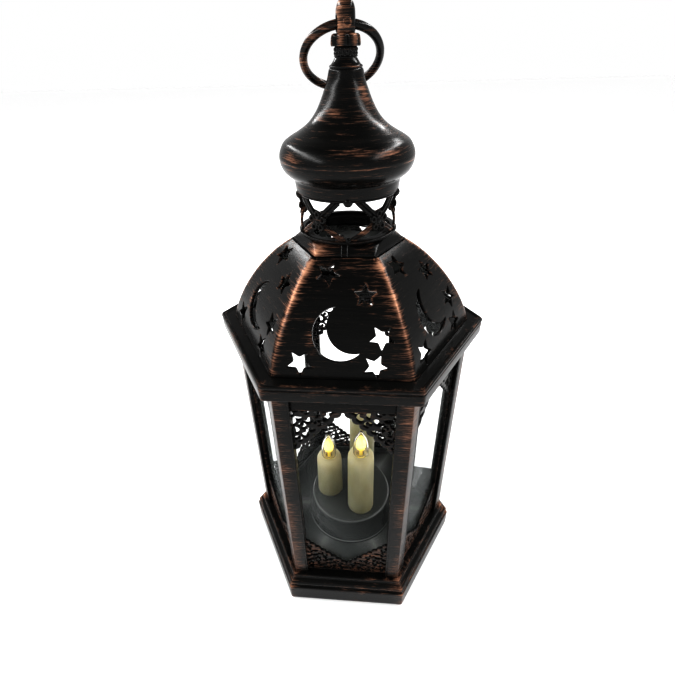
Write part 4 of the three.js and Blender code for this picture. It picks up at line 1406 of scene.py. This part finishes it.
def eye_trim():
    """A small raised circle on each flank of the lug, and the shank below it."""
    shape = Shape()
    for side in (-1, 1):
        path = [turned_point(1.4 * cos(t), side * 4.5, 322.6 + 1.4 * sin(t))
                for t in whole_turn(20)]
        tube(shape, path, 0.4, sides=7, wear_and_light=0.5, closed=True,
             side_of=lambda point: turned_point(0, 1, 0))
    shank_top = high("eye_nut").z + 0.8
    lathe(shape, [(0.1, 299), (2.55, 299), (2.55, shank_top), (0.1, shank_top)], segments=24)
    make("eye_trim", shape, COPPERED, sharp=50)


def ring():
    """Round wire ring, leaning back as in the CAD's rest pose."""
    centre = np.array((low("hanging_ring") + high("hanging_ring")) / 2)
    spoke = centre - RING_PIVOT
    radius = np.linalg.norm(spoke)
    spoke /= radius
    across = np.array([cos(HANGER_TURN), sin(HANGER_TURN), 0])
    normal = np.cross(across, spoke)
    path, worn = [], []
    for t in whole_turn(112):
        c, s = cos(t), sin(t)
        path.append(centre + radius * (across * c + spoke * s))
        drift = noise.noise(Vector((c * 1.6, s * 1.6, 2.2)))
        # Copper heavier on the ring's half towards the hanger's -x, and in soft noise patches.
        worn.append([0.14 + 0.3 * max(0.0, drift) + 0.3 * max(0.0, -c) ** 2] * 16)
    shape = Shape()
    tube(shape, path, 1.73, sides=16, wear_and_light=np.array(worn), closed=True, side_of=lambda point: normal)
    make("ring", shape, COPPERED, "hanging_ring", body="hanging_ring", sharp=60)


finial()
spacer()
nut()
eye()
eye_trim()
ring()


# ---- nodes kept from the CAD ----

KEPT = {
    "bottom_plate": BLACK, "battery_door": BLACK, "battery_cradle": BLACK, "switch_body": BLACK,
    "switch_slider": BLACK, "circuit_board": BOARD, "shank_nut": STEEL, "door_screw": STEEL,
    "contact_plate_positive": STEEL, "contact_plate_negative": STEEL}
KEPT.update({f"base_screw_{i}": STEEL for i in (1, 2, 3)})
KEPT.update({f"battery_{i}": COAT for i in (1, 2, 3)})

for name, material in KEPT.items():
    for place in frame["nodes"][name].material_slots:
        place.material = material


# ---- floor, lights and camera ----

OVERHEAD = 2.2
CONTRAST = 0.66          # display gamma: keeps the blacks deep and the floor white
STRIP_SIZE = (2.4, 0.13)
STRIP_AIM = (0, 0, 0.24)
CAMERA_PLACE = (0.01332, -0.20718, 0.31255)
CAMERA_TURN = (56.306, 1.437, 4.609)
CAMERA_LENS = 22.711


def floor():
    """Pale sheet just under the lantern's base."""
    mesh = bpy.data.meshes.new("floor")
    half = 6.0
    mesh.from_pydata([(-half, -half, 0), (half, -half, 0), (half, half, 0), (-half, half, 0)],
                     [], [(0, 1, 2, 3)])
    sheet = placed("floor", mesh)
    sheet.location.z = -0.0004
    paint = Paint("pale_floor")
    paint.set(base_color=(0.93, 0.93, 0.93, 1), roughness=0.8)
    mesh.materials.append(paint.material)


def surroundings():
    """White round the horizon, falling to dark overhead, like a tent with an open top."""
    world = bpy.data.worlds.new("studio")
    world.use_nodes = True
    tree = world.node_tree
    sky = tree.nodes["Background"]
    place = tree.nodes.new("ShaderNodeTexCoord")
    split = tree.nodes.new("ShaderNodeSeparateXYZ")
    tree.links.new(place.outputs["Generated"], split.inputs["Vector"])
    ramp = tree.nodes.new("ShaderNodeValToRGB")
    ramp.color_ramp.interpolation = "EASE"
    ramp.color_ramp.elements.new(0.5)
    for stop, (height, grey) in zip(ramp.color_ramp.elements, ((0.12, 1), (0.62, 0.5), (0.9, 0.07))):
        stop.position = height
        stop.color = (grey, grey, grey, 1)
    tree.links.new(split.outputs["Z"], ramp.inputs["Fac"])
    tree.links.new(ramp.outputs["Color"], sky.inputs["Color"])
    sky.inputs["Strength"].default_value = 1.0
    bpy.context.scene.world = world
    bpy.context.scene.view_settings.view_transform = "Standard"
    bpy.context.scene.view_settings.gamma = CONTRAST


def softbox(name, place, power):
    """Long narrow lamp that looks at the lantern."""
    data = bpy.data.lights.new(name, "AREA")
    data.shape = "RECTANGLE"
    data.size, data.size_y = STRIP_SIZE
    data.energy = power
    lamp = placed(name, data)
    lamp.location = place
    lamp.rotation_euler = (Vector(STRIP_AIM) - Vector(place)).to_track_quat("-Z", "Y").to_euler()


def overhead():
    """Even soft light straight down, so that the floor is one pale tone to the horizon."""
    data = bpy.data.lights.new("overhead", "SUN")
    data.angle = radians(70)
    data.energy = OVERHEAD
    placed("overhead", data).visible_glossy = False


def camera():
    """The photo's viewpoint: close, above and a little to one side."""
    data = bpy.data.cameras.new("camera")
    data.lens = CAMERA_LENS
    data.sensor_width = 36
    data.clip_start, data.clip_end = 0.01, 50
    seat = placed("camera", data)
    seat.location = CAMERA_PLACE
    seat.rotation_euler = Euler([radians(a) for a in CAMERA_TURN], "XYZ")
    bpy.context.scene.camera = seat


floor()
surroundings()
softbox("strip_left", (-1.0, 0.0, 0.93), 21)
softbox("strip_right", (1.0, 0.25, 1.2), 23)
overhead()
camera()
